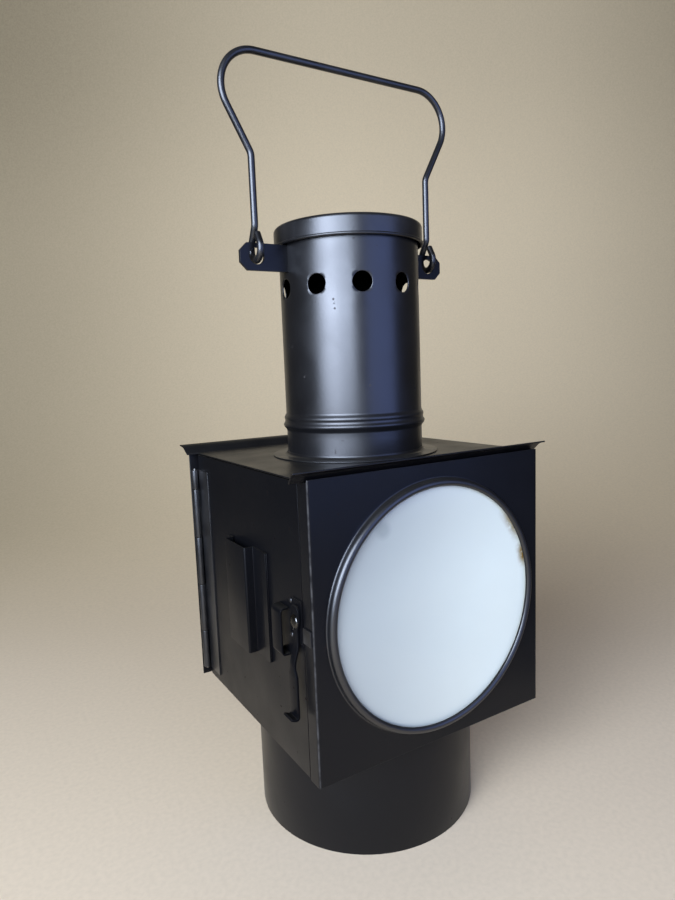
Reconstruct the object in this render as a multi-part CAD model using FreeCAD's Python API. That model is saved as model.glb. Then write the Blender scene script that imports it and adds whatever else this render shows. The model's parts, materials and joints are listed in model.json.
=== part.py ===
import FreeCAD, Part
import math
import os

# Square railway signal lantern of black sheet metal: a socket collar, a box with a milk-glass
# front and a side door, a capped chimney with vent holes, a wire bail and an oil lamp inside.
# Lengths are in millimetres and angles in degrees. +Z is up, the glass faces -Y, the door is
# on the -X side, and the origin is the centre of the socket's mouth.

Vector = FreeCAD.Vector

# Sheet and clearances
sheet = 1.2
seat_gap = 0.3
running_gap = 0.05
fold_radius = 2.2

# Front panel, drawn bead and glass
lip_radius = 100.0
bead_roll = 4.7
bead_turn = 150.0
panel_border = 9.2
corner_return = 14.0
glass_thick = 3.0
glass_clear = 1.6
seal_thick = 0.8
seal_width = 4.6
seal_gap = 0.15
ring_inset = 1.0
ring_lap = 5.0
clip_thick = 1.0
clip_width = 14.0
clip_foot = 10.0
clip_finger = 7.0
clip_turn = 45.0
clip_count = 4

# Box and socket collar
box_depth = 236.0
collar_radius = 104.5
collar_height = 103.0
collar_lip = 10.0
sill_height = 11.0
air_count = 10
air_radius = 5.0
air_ring = 78.0

# Roof eaves, folded up and out along the front and rear edges, and further out on the door side
eave_inset = 6.0
eave_reach = 7.0
eave_rise = 8.7
eave_door_side = 14.5
eave_far_side = 3.5
eave_lap = 2.4
panel_rise = 2.2

# Chimney
chimney_radius = 64.0
chimney_height = 205.0
flange_width = 14.0
flange_flare = 3.0
flange_rim = 0.6
rib_height = 28.9
rib_half = 3.6
rib_proud = 3.2
upper_rib_half = 3.1
upper_rib_proud = 2.2
vent_count = 10
vent_radius = 8.5
vent_drop = 54.0
vent_turn = 13.4
cap_overhang = 4.0
cap_skirt = 18.0
cap_round = 3.4
cap_dome = 3.0
cap_hem = 1.2

# Ears and bail
ear_thick = 3.0
ear_height = 23.0
ear_drop = 0.5
ear_reach = 44.5
ear_corner = 6.5
ear_hole = 7.0
ear_hole_reach = 29.0
ear_bridge = 3.7
ear_pad = 18.0
ear_pad_thick = 1.8
bail_wire = 3.0
eye_radius = 9.5
eye_gap = 0.5
eye_lean = 30.0
eye_mouth = 0.6
eye_neck = 8.0
bail_leg = 77.6
bail_flare = 28.5
bail_bend = 12.0
bail_corner = 31.0
bail_rise = 159.5

# Door and piano hinge
door_gap = 1.0
knuckle_radius = 3.5
hinge_pin_radius = 1.5
hinge_stand = 0.5
hinge_leaf = 28.0
hinge_foot = 9.0
hinge_head = 17.0
knuckle_pitch = 50.0
knuckle_first = 20.0
knuckle_gap = 0.4
pin_overhang = 1.0

# Pocket on the door
pocket_front = -18.0
pocket_width = 44.0
pocket_depth = 9.5
pocket_height = 93.8
pocket_lift = 73.2
pocket_flange = 27.0
pocket_rear_flange = 10.0
pocket_hem = 8.0
pocket_fold = 0.9

# Pull strap on the door, placed from the latch plate's rear edge
pull_thick = 1.6
pull_width = 16.0
pull_place = 3.0
pull_height = 39.0
pull_stand = 8.0
pull_bend = 6.0
pull_lift = 93.0

# Latch
stud_radius = 3.0
stud_inset = 8.0
stud_head = 5.5
stud_head_thick = 2.0
stud_tail = 4.5
stud_tail_thick = 1.2
latch_lift = 126.0
latch_plate_thick = 1.0
latch_plate_width = 20.0
latch_plate_height = 34.0
latch_plate_corner = 4.0
rivet_radius = 2.0
rivet_shank = 1.3
rivet_rise = 1.2
rivet_inset = 3.2
lever_thick = 2.0
lever_boss = 6.5
lever_tail = 13.0
lever_neck = 9.0
lever_neck_length = 36.0
lever_grip = 15.0
lever_length = 78.0
lever_offset = 4.0
lever_offset_start = 20.0
lever_offset_run = 12.0
lever_foot_reach = 8.0
lever_foot_rise = 3.0
tongue_thick = 2.0
tongue_width = 12.0
tongue_length = 15.0
tongue_gap = 0.4
wear_plate_drop = 2.5
wear_plate_height = 12.0

# Oil lamp
font_length = 110.0
font_width = 100.0
font_height = 44.0
font_wall = 1.0
font_corner = 12.0
rail_height = 10.0
rail_foot = 11.0
stop_width = 50.0
burner_radius = 23.0
burner_height = 17.0
burner_ring = 7.0
burner_ring_wide = 4.0
breath_lift = 4.2
breath_radius = 1.6
breath_count = 12
gallery_radius = 31.0
gallery_prong = 9.0
gallery_prong_width = 6.0
gallery_prongs = 4
gallery_turn = 45.0
wick_width = 26.0
wick_thick = 3.2
wick_gap = 0.25
wick_wall = 0.6
wick_dip = 20.0
wick_rise = 46.0
wick_show = 2.0
wick_tail = 10.0
shaft_radius = 1.5
shaft_height = 9.0
shaft_reach = 62.0
wheel_radius = 5.2
wheel_thick = 2.2
wheel_teeth = 12
wheel_tooth = 0.8
wheel_spacing = 14.0
wheel_clear = 0.25
knob_radius = 9.0
knob_thick = 5.0
knob_groove = 0.8
knob_grooves = 16
cone_radius = 19.0
cone_height = 26.0
cone_shoulder = 13.0
cone_draw = 1.2
cone_slot = 1.5
lamp_glass_wall = 1.8
lamp_glass_belly = 30.0
lamp_glass_top = 21.0
lamp_glass_height = 118.0
lamp_glass_gap = 0.9
lamp_belly_lift = 39.0
lamp_neck_lift = 79.0
filler_from_end = 19.0
filler_from_side = 22.0
filler_radius = 9.0
filler_neck = 6.0
filler_cap_radius = 12.5
filler_cap_height = 9.0
filler_grip = 1.2
filler_grips = 10

# Places worked out from the sizes above
bead_centre = lip_radius - bead_roll * math.cos(math.radians(bead_turn))
bead_outer = bead_centre + bead_roll
bead_lip = (bead_roll - sheet) * math.sin(math.radians(bead_turn))
bead_stand = glass_thick + seal_thick + seal_gap - sheet - bead_lip
glass_radius = bead_outer - sheet - glass_clear
ring_outer = bead_outer + ring_lap
half_width = bead_outer + panel_border
half_depth = box_depth / 2
floor_z = collar_height
floor_top = floor_z + sheet
roof_z = floor_z + 2 * half_width
wall_top = roof_z - sheet
panel_top = wall_top + panel_rise
glass_z = floor_z + half_width
panel_back = -half_depth + sheet

tube_inner = chimney_radius - sheet
tube_foot = roof_z + sheet
rib_z = roof_z + rib_height
upper_rib_z = rib_z + rib_half + upper_rib_half
foot_top = upper_rib_z + upper_rib_half
tube_top = roof_z + chimney_height
cap_radius = chimney_radius + cap_overhang
cap_top = tube_top + sheet
cap_foot = cap_top - cap_skirt
ear_top = cap_foot - ear_drop
ear_foot = ear_top - ear_height
ear_hole_x = chimney_radius + ear_hole_reach
ear_hole_z = ear_top - ear_bridge - ear_hole
pivot_z = ear_hole_z - ear_hole + eye_gap + bail_wire + eye_radius

hinge_x = -half_width - knuckle_radius - hinge_stand
hinge_y = half_depth - sheet - seat_gap - knuckle_radius
hinge_low = floor_z + hinge_foot
hinge_high = roof_z - hinge_head
door_front = -half_depth + corner_return + door_gap
door_rear = hinge_y - hinge_pin_radius
door_face = -half_width
door_back = door_face + sheet
door_low = floor_z + door_gap
door_high = wall_top - door_gap
stud_y = door_front + stud_inset
stud_z = floor_z + latch_lift
plate_face = door_face - latch_plate_thick
plate_rear = door_front + latch_plate_width
lever_back = plate_face - seat_gap
lever_face = lever_back - lever_thick
tongue_face = door_back + tongue_gap
tongue_back = tongue_face + tongue_thick

font_top = floor_top + font_height
filler_x = -font_length / 2 + filler_from_end
filler_y = -font_width / 2 + filler_from_side
burner_foot = font_top + burner_ring
burner_top = burner_foot + burner_height
gallery_z = burner_top + sheet
wick_tube_inner = wick_thick / 2 + wick_gap
wick_tube_outer = wick_tube_inner + wick_wall
wick_tube_half = wick_width / 2 + wick_gap + wick_wall
wick_tube_foot = font_top - wick_dip
wick_tube_top = font_top + wick_rise
shaft_z = burner_foot + shaft_height
shaft_y = wick_thick / 2 + wheel_clear + wheel_radius


def block(x0, x1, y0, y1, z0, z1):
    return Part.makeBox(x1 - x0, y1 - y0, z1 - z0, Vector(x0, y0, z0))


def rod(radius, start, end):
    return Part.makeCylinder(radius, (end - start).Length, start, end - start)


def fused(first, *others):
    return first.fuse(list(others)).removeSplitter()


def in_section(point):
    return Vector(0, point[0], point[1])


def in_elevation(point):
    return Vector(point[0], 0, point[1])


def in_plan(height):
    return lambda point: Vector(point[0], point[1], height)


def polar(centre, radius, angle):
    turn = math.radians(angle)
    return (centre[0] + radius * math.cos(turn), centre[1] + radius * math.sin(turn))


def outline(lift, start, *steps):
    # A step is a point for a line, or a (through, to) pair of points for an arc.
    edges = []
    here = start
    for step in steps + (start,):
        if isinstance(step[0], tuple):
            through, there = step
            edges.append(Part.Arc(lift(here), lift(through), lift(there)).toShape())
        else:
            there = step
            edges.append(Part.LineSegment(lift(here), lift(there)).toShape())
        here = there
    return Part.Face(Part.Wire(edges))


def turned(start, *steps):
    face = outline(in_elevation, start, *steps)
    return face.revolve(Vector(0, 0, 0), Vector(0, 0, 1), 360)


def left_of(a, b):
    run = math.dist(a, b)
    return ((a[1] - b[1]) / run, (b[0] - a[0]) / run)


def bent_strip(points, thick, lift, sweep):
    # The points lie on one face of the strip, and its thickness is on the left of their way.
    sides = [left_of(a, b) for a, b in zip(points, points[1:])]
    skin = []
    for (u, v), m, n in zip(points, sides[:1] + sides, sides + sides[-1:]):
        share = thick / (1 + m[0] * n[0] + m[1] * n[1])
        skin.append((u + (m[0] + n[0]) * share, v + (m[1] + n[1]) * share))
    corners = points + skin[::-1]
    return outline(lift, *corners).extrude(sweep)


def rounded_uprights(shape, radius, *corners):
    # Rounds the upright edges that stand on the given plan points.
    edges = []
    for edge in shape.Edges:
        for x, y in corners:
            if all(math.hypot(v.X - x, v.Y - y) < 0.01 for v in edge.Vertexes):
                edges.append(edge)
    return shape.makeFillet(radius, edges)


def around(count, shape, centre, axis):
    copies = []
    for i in range(count):
        copy = shape.copy()
        copy.rotate(centre, axis, 360 * i / count)
        copies.append(copy)
    return copies


def mirrored(shape, normal):
    return shape.mirror(Vector(0, 0, 0), normal)


# Socket collar and box


def base_collar():
    inner = collar_radius - sheet
    return turned(
        (collar_radius, 0), (collar_radius, collar_height), (collar_radius - collar_lip, collar_height),
        (collar_radius - collar_lip, collar_height - sheet), (inner, collar_height - sheet), (inner, 0))


def floor_plate():
    left = door_back + seat_gap
    right = half_width - 2 * sheet
    plate = block(left, right, panel_back, -panel_back, floor_z, floor_top)
    plate = rounded_uprights(plate, fold_radius, (left, panel_back))
    sill = block(left, left + sheet, door_front, hinge_y - hinge_leaf, floor_z, floor_top + sill_height)
    hole = rod(air_radius, Vector(air_ring, 0, floor_z - sheet), Vector(air_ring, 0, floor_top + sheet))
    holes = around(air_count, hole, Vector(0, 0, 0), Vector(0, 0, 1))
    return fused(plate, sill).cut(holes)


def front_panel():
    x, y = half_width, -half_depth
    points = [(-x, y + corner_return), (-x, y), (x, y), (x, y + corner_return)]
    panel = bent_strip(points, sheet, in_plan(floor_z), Vector(0, 0, panel_top - floor_z))
    panel = rounded_uprights(panel, fold_radius, (-x, y), (x, y))
    panel = rounded_uprights(panel, fold_radius - sheet, (-x + sheet, y + sheet), (x - sheet, y + sheet))
    # The face stands up behind the eave, and the returns end under the flat roof.
    panel = panel.cut(block(-x - sheet, x + sheet, panel_back, 0, wall_top, panel_top + sheet))
    centre = Vector(0, 0, glass_z)
    panel = panel.cut(rod(bead_outer, centre + Vector(0, y - sheet, 0), centre + Vector(0, y + 2 * sheet, 0)))
    roll = (bead_centre, bead_stand)
    inner_roll = bead_roll - sheet
    profile = outline(
        lambda point: Vector(point[0], y - point[1], glass_z),
        (bead_outer, -sheet), (bead_outer, bead_stand),
        (polar(roll, bead_roll, bead_turn / 2), polar(roll, bead_roll, bead_turn)),
        polar(roll, inner_roll, bead_turn),
        (polar(roll, inner_roll, bead_turn / 2), polar(roll, inner_roll, 0)),
        (bead_outer - sheet, -sheet))
    return fused(panel, profile.revolve(centre, Vector(0, 1, 0), 360))


def right_wall():
    end = -panel_back - fold_radius + sheet
    return block(half_width - 2 * sheet, half_width - sheet, -end, end, floor_z, wall_top)


def rear_wall():
    x, y = half_width, half_depth
    points = [(x, y - corner_return), (x, y), (hinge_x - knuckle_radius, y)]
    wall = bent_strip(points, sheet, in_plan(floor_z), Vector(0, 0, wall_top - floor_z))
    wall = rounded_uprights(wall, fold_radius, (x, y))
    return rounded_uprights(wall, fold_radius - sheet, (x - sheet, y - sheet))


def roof_plate():
    flat = half_depth - eave_inset
    plate = block(-half_width, half_width, -flat, flat, wall_top, roof_z)
    left = -half_width - eave_door_side
    right = half_width + eave_far_side
    points = [(-half_depth - eave_reach, wall_top + eave_rise), (-flat, wall_top),
              (-flat + eave_lap, wall_top)]
    eave = bent_strip(points, sheet, in_section, Vector(right - left, 0, 0))
    eave.translate(Vector(left, 0, 0))
    roof = fused(plate, eave, mirrored(eave, Vector(0, 1, 0)))
    return roof.cut(rod(tube_inner, Vector(0, 0, wall_top - sheet), Vector(0, 0, roof_z + sheet)))


# Milk glass and what holds it


def glass_disc(inner, outer, front, back):
    disc = rod(outer, Vector(0, front, glass_z), Vector(0, back, glass_z))
    if inner:
        disc = disc.cut(rod(inner, Vector(0, front - sheet, glass_z), Vector(0, back + sheet, glass_z)))
    return disc


def milk_glass():
    return glass_disc(0, glass_radius, panel_back - glass_thick, panel_back)


def glass_seal():
    face = panel_back - glass_thick
    return glass_disc(glass_radius - seal_width, glass_radius, face - seal_thick, face)


def glass_ring():
    return glass_disc(lip_radius - ring_inset, ring_outer, panel_back, panel_back + sheet)


def glass_clips():
    step = ring_outer + seat_gap
    points = [(step + clip_foot, panel_back), (step, panel_back), (step, panel_back + sheet),
              (step - clip_finger, panel_back + sheet)]
    clip = bent_strip(points[::-1], clip_thick, in_plan(glass_z - clip_width / 2), Vector(0, 0, clip_width))
    centre = Vector(0, 0, glass_z)
    clip.rotate(centre, Vector(0, 1, 0), clip_turn)
    return Part.makeCompound(around(clip_count, clip, centre, Vector(0, 1, 0)))


# Chimney, ears and bail


def chimney_flange():
    # The foot stands in a shallow seat, and the seat's rim flares out into the flat ring.
    outer = chimney_radius + flange_width
    seat = chimney_radius + seat_gap
    rim = seat + flange_rim
    rim_top = tube_foot + flange_flare
    flare = (rim + flange_flare, rim_top)
    return turned(
        (tube_inner, roof_z), (outer, roof_z), (outer, tube_foot), (rim + flange_flare, tube_foot),
        (polar(flare, flange_flare, 225), (rim, rim_top)), (seat, rim_top), (seat, tube_foot),
        (tube_inner, tube_foot))


def chimney_foot():
    # Two rolled ribs, hollow inside as the sheet is.
    valley = rib_z + rib_half
    return turned(
        (chimney_radius, tube_foot), (chimney_radius, rib_z - rib_half),
        ((chimney_radius + rib_proud, rib_z), (chimney_radius, valley)),
        ((chimney_radius + upper_rib_proud, upper_rib_z), (chimney_radius, foot_top)),
        (tube_inner, foot_top), (tube_inner, foot_top - sheet / 2),
        ((tube_inner + upper_rib_proud, upper_rib_z), (tube_inner, valley)),
        ((tube_inner + rib_proud, rib_z), (tube_inner, rib_z - rib_half + sheet / 2)),
        (tube_inner, tube_foot))


def chimney_tube():
    tube = turned(
        (chimney_radius, foot_top), (chimney_radius, tube_top), (tube_inner, tube_top),
        (tube_inner, foot_top))
    vent_z = tube_top - vent_drop
    vent = rod(vent_radius, Vector(0, 0, vent_z), Vector(0, -cap_radius, vent_z))
    vent.rotate(Vector(0, 0, 0), Vector(0, 0, 1), vent_turn)
    slot_half = ear_thick / 2 + running_gap
    slot_low = ear_foot - running_gap
    slot_high = ear_top + running_gap
    slot = block(-cap_radius, cap_radius, -slot_half, slot_half, slot_low, slot_high)
    return tube.cut(around(vent_count, vent, Vector(0, 0, 0), Vector(0, 0, 1)) + [slot])


def chimney_cap():
    inner = cap_radius - sheet
    round_in = cap_radius - cap_round
    crown = tube_inner - cap_round
    knee = (round_in, cap_top - cap_round)
    return turned(
        (0, cap_top + cap_dome), (crown, cap_top), (round_in, cap_top),
        (polar(knee, cap_round, 45), (cap_radius, cap_top - cap_round)),
        (cap_radius, cap_foot + 2 * cap_hem),
        ((cap_radius + cap_hem, cap_foot + cap_hem), (cap_radius, cap_foot)),
        (inner, cap_foot), (inner, cap_top - cap_round),
        (polar(knee, cap_round - sheet, 45), (round_in, tube_top)),
        (crown, tube_top), (0, tube_top + cap_dome))


def right_ear():
    tip = chimney_radius + ear_reach
    pad = math.sqrt(tube_inner ** 2 - (ear_pad / 2) ** 2) - seat_gap
    root = pad - ear_pad_thick
    face = outline(
        in_elevation, (root, ear_foot), (tip - ear_corner, ear_foot), (tip, ear_foot + ear_corner),
        (tip, ear_top - ear_corner), (tip - ear_corner, ear_top), (root, ear_top))
    plate = face.extrude(Vector(0, ear_thick, 0))
    plate.translate(Vector(0, -ear_thick / 2, 0))
    foot = block(root, pad, -ear_pad / 2, ear_pad / 2, ear_foot, ear_top)
    hole_front = Vector(ear_hole_x, -ear_thick, ear_hole_z)
    hole_rear = Vector(ear_hole_x, ear_thick, ear_hole_z)
    return fused(plate, foot).cut(rod(ear_hole, hole_front, hole_rear))


def bail():
    # One half of the wire runs from its cut end round a drop-shaped eye, up the leg and to the top's middle.
    eye = (0, pivot_z)
    lean = math.radians(eye_lean)
    apex = pivot_z + eye_radius / math.sin(lean)
    end_drop = (2 * bail_wire + eye_mouth) / (2 * math.sin(lean))
    cut_end = (-end_drop * math.tan(lean), apex - end_drop)
    neck = (eye_neck, apex + eye_neck * math.tan(lean / 2))
    in_eye = [polar(eye, eye_radius, angle) for angle in (180 - eye_lean, 270, 360 + eye_lean)]
    in_neck = [polar(neck, eye_neck, 180 + eye_lean * i / 2) for i in (2, 1, 0)]

    flare = math.radians(bail_flare)
    bend = bail_bend * math.tan(flare / 2)
    bend_centre = (ear_hole_x + bail_bend, pivot_z + bail_leg - bend)
    top = pivot_z + bail_rise
    corner = bail_corner * math.tan(flare / 2 + math.pi / 4)
    corner_x = ear_hole_x + (bail_rise - bail_leg) * math.tan(flare) - corner
    corner_centre = (corner_x, top - bail_corner)
    in_bend = [polar(bend_centre, bail_bend, 180 - bail_flare * i / 2) for i in range(3)]
    in_corner = [polar(corner_centre, bail_corner, (90 + bail_flare) * i / 2 - bail_flare) for i in range(3)]

    side = [Vector(ear_hole_x, y, z) for y, z in [cut_end] + in_eye + in_neck]
    front = [in_elevation(point) for point in in_bend + in_corner + [(0, top)]]
    path = Part.Wire([
        Part.LineSegment(side[0], side[1]).toShape(), Part.Arc(*side[1:4]).toShape(),
        Part.LineSegment(side[3], side[4]).toShape(), Part.Arc(*side[4:7]).toShape(),
        Part.LineSegment(side[6], front[0]).toShape(), Part.Arc(*front[0:3]).toShape(),
        Part.LineSegment(front[2], front[3]).toShape(), Part.Arc(*front[3:6]).toShape(),
        Part.LineSegment(front[5], front[6]).toShape()])
    wire_end = Part.makeCircle(bail_wire, side[0], side[1] - side[0])
    half = path.makePipeShell([Part.Wire(wire_end)], True, False)
    return fused(half, mirrored(half, Vector(1, 0, 0)))


# Door, hinge, pocket and pull


def knuckle_spans():
    edges = [hinge_high, hinge_high - knuckle_first]
    while edges[-1] - knuckle_pitch > hinge_low + knuckle_gap:
        edges.append(edges[-1] - knuckle_pitch)
    edges.append(hinge_low)
    return list(zip(edges[1:], edges))


def on_hinge(radius, low, high):
    return rod(radius, Vector(hinge_x, hinge_y, low), Vector(hinge_x, hinge_y, high))


def hinge_half(leaf, spans, other_spans):
    # Knuckles on the pin's line, joined to a leaf that is cut back round the other half's knuckles.
    near = knuckle_radius + seat_gap
    far = knuckle_radius + 2 * sheet
    half = leaf
    for low, high in other_spans:
        half = half.cut(block(hinge_x - near, hinge_x + far, hinge_y - near, hinge_y + far, low, high))
    for low, high in spans:
        half = fused(half, on_hinge(knuckle_radius, low + knuckle_gap / 2, high - knuckle_gap / 2))
    return half.cut(on_hinge(hinge_pin_radius + running_gap, floor_z, roof_z))


def fixed_hinge_leaf():
    spans = knuckle_spans()
    leaf = block(hinge_x, hinge_x + hinge_leaf, -panel_back - sheet, -panel_back, hinge_low, hinge_high)
    return hinge_half(leaf, spans[0::2], spans[1::2])


def door_hinge_leaf():
    spans = knuckle_spans()
    leaf = block(door_face - sheet, door_face, hinge_y - hinge_leaf, hinge_y, hinge_low, hinge_high)
    return hinge_half(leaf, spans[1::2], spans[0::2])


def hinge_pin():
    return on_hinge(hinge_pin_radius, hinge_low - pin_overhang, hinge_high + pin_overhang)


def rivet_places():
    rear = plate_rear - rivet_inset
    reach = latch_plate_height / 2 - rivet_inset
    return [(rear, stud_z - reach), (rear, stud_z + reach)]


def across_door(radius, y, z):
    return rod(radius, Vector(lever_face, y, z), Vector(tongue_back, y, z))


def latch_holes():
    shanks = [across_door(rivet_shank + running_gap, y, z) for y, z in rivet_places()]
    return shanks + [across_door(stud_radius + running_gap, stud_y, stud_z)]


def door_panel():
    return block(door_face, door_back, door_front, door_rear, door_low, door_high).cut(latch_holes())


def side_pocket():
    rear = pocket_front + pocket_width
    out = door_face - pocket_depth + sheet
    foot = floor_z + pocket_lift
    edge = pocket_front - pocket_flange
    points = [(door_face, edge), (door_face, pocket_front + sheet), (out, pocket_front + sheet),
              (out, rear - sheet), (door_face, rear - sheet), (door_face, rear + pocket_rear_flange)]
    pocket = bent_strip(points, sheet, in_plan(foot), Vector(0, 0, pocket_height))
    pocket = rounded_uprights(pocket, pocket_fold, (out - sheet, pocket_front), (out - sheet, rear))
    hem = block(door_face - 2 * sheet, door_face - sheet, edge, edge + pocket_hem, foot, foot + pocket_height)
    base = block(out, door_face, pocket_front + sheet, rear - sheet, foot, foot + sheet)
    return fused(pocket, hem, base)


def pull_handle():
    low = floor_z + pull_lift
    high = low + pull_height
    grip = door_face - pull_stand
    lower = (grip + pull_bend, low + pull_bend)
    upper = (grip + pull_bend, high - pull_bend)
    inner = pull_bend - pull_thick
    section = outline(
        in_elevation, (door_face, low), (lower[0], low),
        (polar(lower, pull_bend, 225), polar(lower, pull_bend, 180)), polar(upper, pull_bend, 180),
        (polar(upper, pull_bend, 135), (upper[0], high)), (door_face, high),
        (door_face, high - pull_thick), polar(upper, inner, 90),
        (polar(upper, inner, 135), polar(upper, inner, 180)), polar(lower, inner, 180),
        (polar(lower, inner, 225), polar(lower, inner, 270)), (door_face, low + pull_thick))
    strap = section.extrude(Vector(0, pull_width, 0))
    strap.translate(Vector(0, plate_rear + pull_place, 0))
    return strap


# Latch


def domed_head(radius, rise, face, y, z):
    # A round head that stands on a face and bulges towards -X.
    bulge = (radius ** 2 - rise ** 2) / (2 * rise)
    tilt = math.degrees(math.atan2(bulge, radius))
    ball = bulge + rise
    centre = (0, -bulge)
    head = turned((0, 0), (radius, 0), (polar(centre, ball, (90 + tilt) / 2), (0, rise)))
    head.rotate(Vector(0, 0, 0), Vector(0, 1, 0), -90)
    head.translate(Vector(face, y, z))
    return head


def latch_plate():
    rear = plate_rear
    front = door_front
    low = stud_z - latch_plate_height / 2
    high = stud_z + latch_plate_height / 2
    cut = latch_plate_corner
    face = outline(
        lambda point: Vector(plate_face, point[0], point[1]),
        (front, low), (rear - cut, low), (rear, low + cut),
        (rear, high - cut), (rear - cut, high), (front, high))
    return face.extrude(Vector(latch_plate_thick, 0, 0)).cut(latch_holes())


def latch_rivets():
    rivets = []
    for y, z in rivet_places():
        shank = rod(rivet_shank, Vector(plate_face, y, z), Vector(door_back, y, z))
        tail = rod(rivet_radius, Vector(door_back, y, z), Vector(door_back + rivet_rise, y, z))
        rivets.append(fused(shank, tail, domed_head(rivet_radius, rivet_rise, plate_face, y, z)))
    return Part.makeCompound(rivets)


def latch_lever():
    bowed = lever_back - lever_offset
    foot = stud_z - lever_length
    points = [(bowed - lever_foot_reach, foot + lever_foot_rise), (bowed, foot),
              (bowed, stud_z - lever_offset_start - lever_offset_run),
              (lever_back, stud_z - lever_offset_start), (lever_back, stud_z + lever_tail)]
    half_grip = lever_grip / 2
    half_neck = lever_neck / 2
    strip = bent_strip(points, lever_thick, in_elevation, Vector(0, lever_grip, 0))
    strip.translate(Vector(0, stud_y - half_grip, 0))
    crown = lever_tail - lever_boss
    shoulder = -lever_neck_length
    end = -lever_length - lever_thick
    face = outline(
        lambda point: Vector(lever_back + lever_boss, stud_y + point[0], stud_z + point[1]),
        (half_neck, -lever_boss), (lever_boss, 0), (lever_boss, crown),
        ((0, lever_tail), (-lever_boss, crown)), (-lever_boss, 0), (-half_neck, -lever_boss),
        (-half_neck, shoulder), (-half_grip, shoulder - half_grip), (-half_grip, end),
        (half_grip, end), (half_grip, shoulder - half_grip), (half_neck, shoulder))
    body = strip.common(face.extrude(Vector(-lever_length, 0, 0)))
    return body.cut(across_door(stud_radius + running_gap, stud_y, stud_z))


def latch_stud():
    shank = rod(stud_radius, Vector(lever_face, stud_y, stud_z), Vector(tongue_back, stud_y, stud_z))
    tail = rod(stud_tail, Vector(tongue_back, stud_y, stud_z),
               Vector(tongue_back + stud_tail_thick, stud_y, stud_z))
    return fused(shank, tail, domed_head(stud_head, stud_head_thick, lever_face, stud_y, stud_z))


def latch_tongue():
    half = tongue_width / 2
    face = outline(
        lambda point: Vector(tongue_face, stud_y + point[0], stud_z + point[1]),
        (half, 0), ((0, half), (-half, 0)), (-half, -tongue_length + half),
        ((0, -tongue_length), (half, -tongue_length + half)))
    plate = face.extrude(Vector(tongue_thick, 0, 0))
    return plate.cut(across_door(stud_radius + running_gap, stud_y, stud_z))


def wear_plate():
    front = -half_depth + fold_radius
    rear = -half_depth + corner_return - seat_gap
    high = stud_z - wear_plate_drop
    return block(door_face - sheet, door_face, front, rear, high - wear_plate_height, high)


# Oil lamp


def font_rails():
    wall = font_width / 2 + seat_gap
    points = [(wall, floor_top + rail_height), (wall, floor_top), (wall + rail_foot, floor_top)]
    rail = bent_strip(points, sheet, in_section, Vector(font_length, 0, 0))
    rail.translate(Vector(-font_length / 2, 0, 0))
    end = font_length / 2 + seat_gap
    points = [(end, floor_top + rail_height), (end, floor_top), (end + rail_foot, floor_top)]
    stop = bent_strip(points, sheet, in_elevation, Vector(0, stop_width, 0))
    stop.translate(Vector(0, -stop_width / 2, 0))
    return Part.makeCompound([rail, mirrored(rail, Vector(0, 1, 0)), stop])


def filler_rod(radius, low, high):
    return rod(radius, Vector(filler_x, filler_y, low), Vector(filler_x, filler_y, high))


def along_shaft(radius, start, end):
    return rod(radius, Vector(start, shaft_y, shaft_z), Vector(end, shaft_y, shaft_z))


def wick_slot(clear, low, high):
    x = wick_tube_half + clear
    y = wick_tube_outer + clear
    return block(-x, x, -y, y, low, high)


def oil_font():
    x, y = font_length / 2, font_width / 2
    corners = [(-x, -y), (x, -y), (x, y), (-x, y)]
    tank = rounded_uprights(block(-x, x, -y, y, floor_top, font_top), font_corner, *corners)
    x, y = x - font_wall, y - font_wall
    corners = [(-x, -y), (x, -y), (x, y), (-x, y)]
    hollow = block(-x, x, -y, y, floor_top + font_wall, font_top - font_wall)
    hollow = rounded_uprights(hollow, font_corner - font_wall, *corners)
    neck = filler_rod(filler_radius, font_top, font_top + filler_neck)
    bore = filler_rod(filler_radius - font_wall, font_top - 2 * font_wall, font_top + 2 * filler_neck)
    slot = wick_slot(seat_gap, font_top - 2 * font_wall, font_top + font_wall)
    return fused(tank, neck).cut([hollow, bore, slot])


def filler_cap():
    foot = font_top + seat_gap
    roof = font_top + filler_neck + seat_gap
    body = filler_rod(filler_cap_radius, foot, foot + filler_cap_height)
    body = body.cut(filler_rod(filler_radius + seat_gap, foot - sheet, roof))
    axis = Vector(filler_x, filler_y, 0)
    rim = axis + Vector(filler_cap_radius, 0, foot)
    groove = rod(filler_grip, rim, rim + Vector(0, 0, filler_cap_height))
    return body.cut(around(filler_grips, groove, axis, Vector(0, 0, 1)))


def burner_collar():
    outer = burner_radius + burner_ring_wide
    inner = burner_radius - burner_ring_wide
    return turned((outer, font_top), (outer, burner_foot - sheet), (outer - sheet, burner_foot),
                  (inner, burner_foot), (inner, font_top))


def burner_body():
    inner = burner_radius - font_wall
    cup = turned((0, burner_foot), (burner_radius, burner_foot), (burner_radius, burner_top),
                 (inner, burner_top), (inner, burner_foot + font_wall), (0, burner_foot + font_wall))
    bore = along_shaft(shaft_radius + running_gap, -shaft_reach, shaft_reach)
    slot = wick_slot(seat_gap, burner_foot - font_wall, burner_foot + 2 * font_wall)
    breath_z = burner_foot + breath_lift
    breath = rod(breath_radius, Vector(0, 0, breath_z), Vector(0, -2 * burner_radius, breath_z))
    return cup.cut(around(breath_count, breath, Vector(0, 0, 0), Vector(0, 0, 1)) + [bore, slot])


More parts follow.
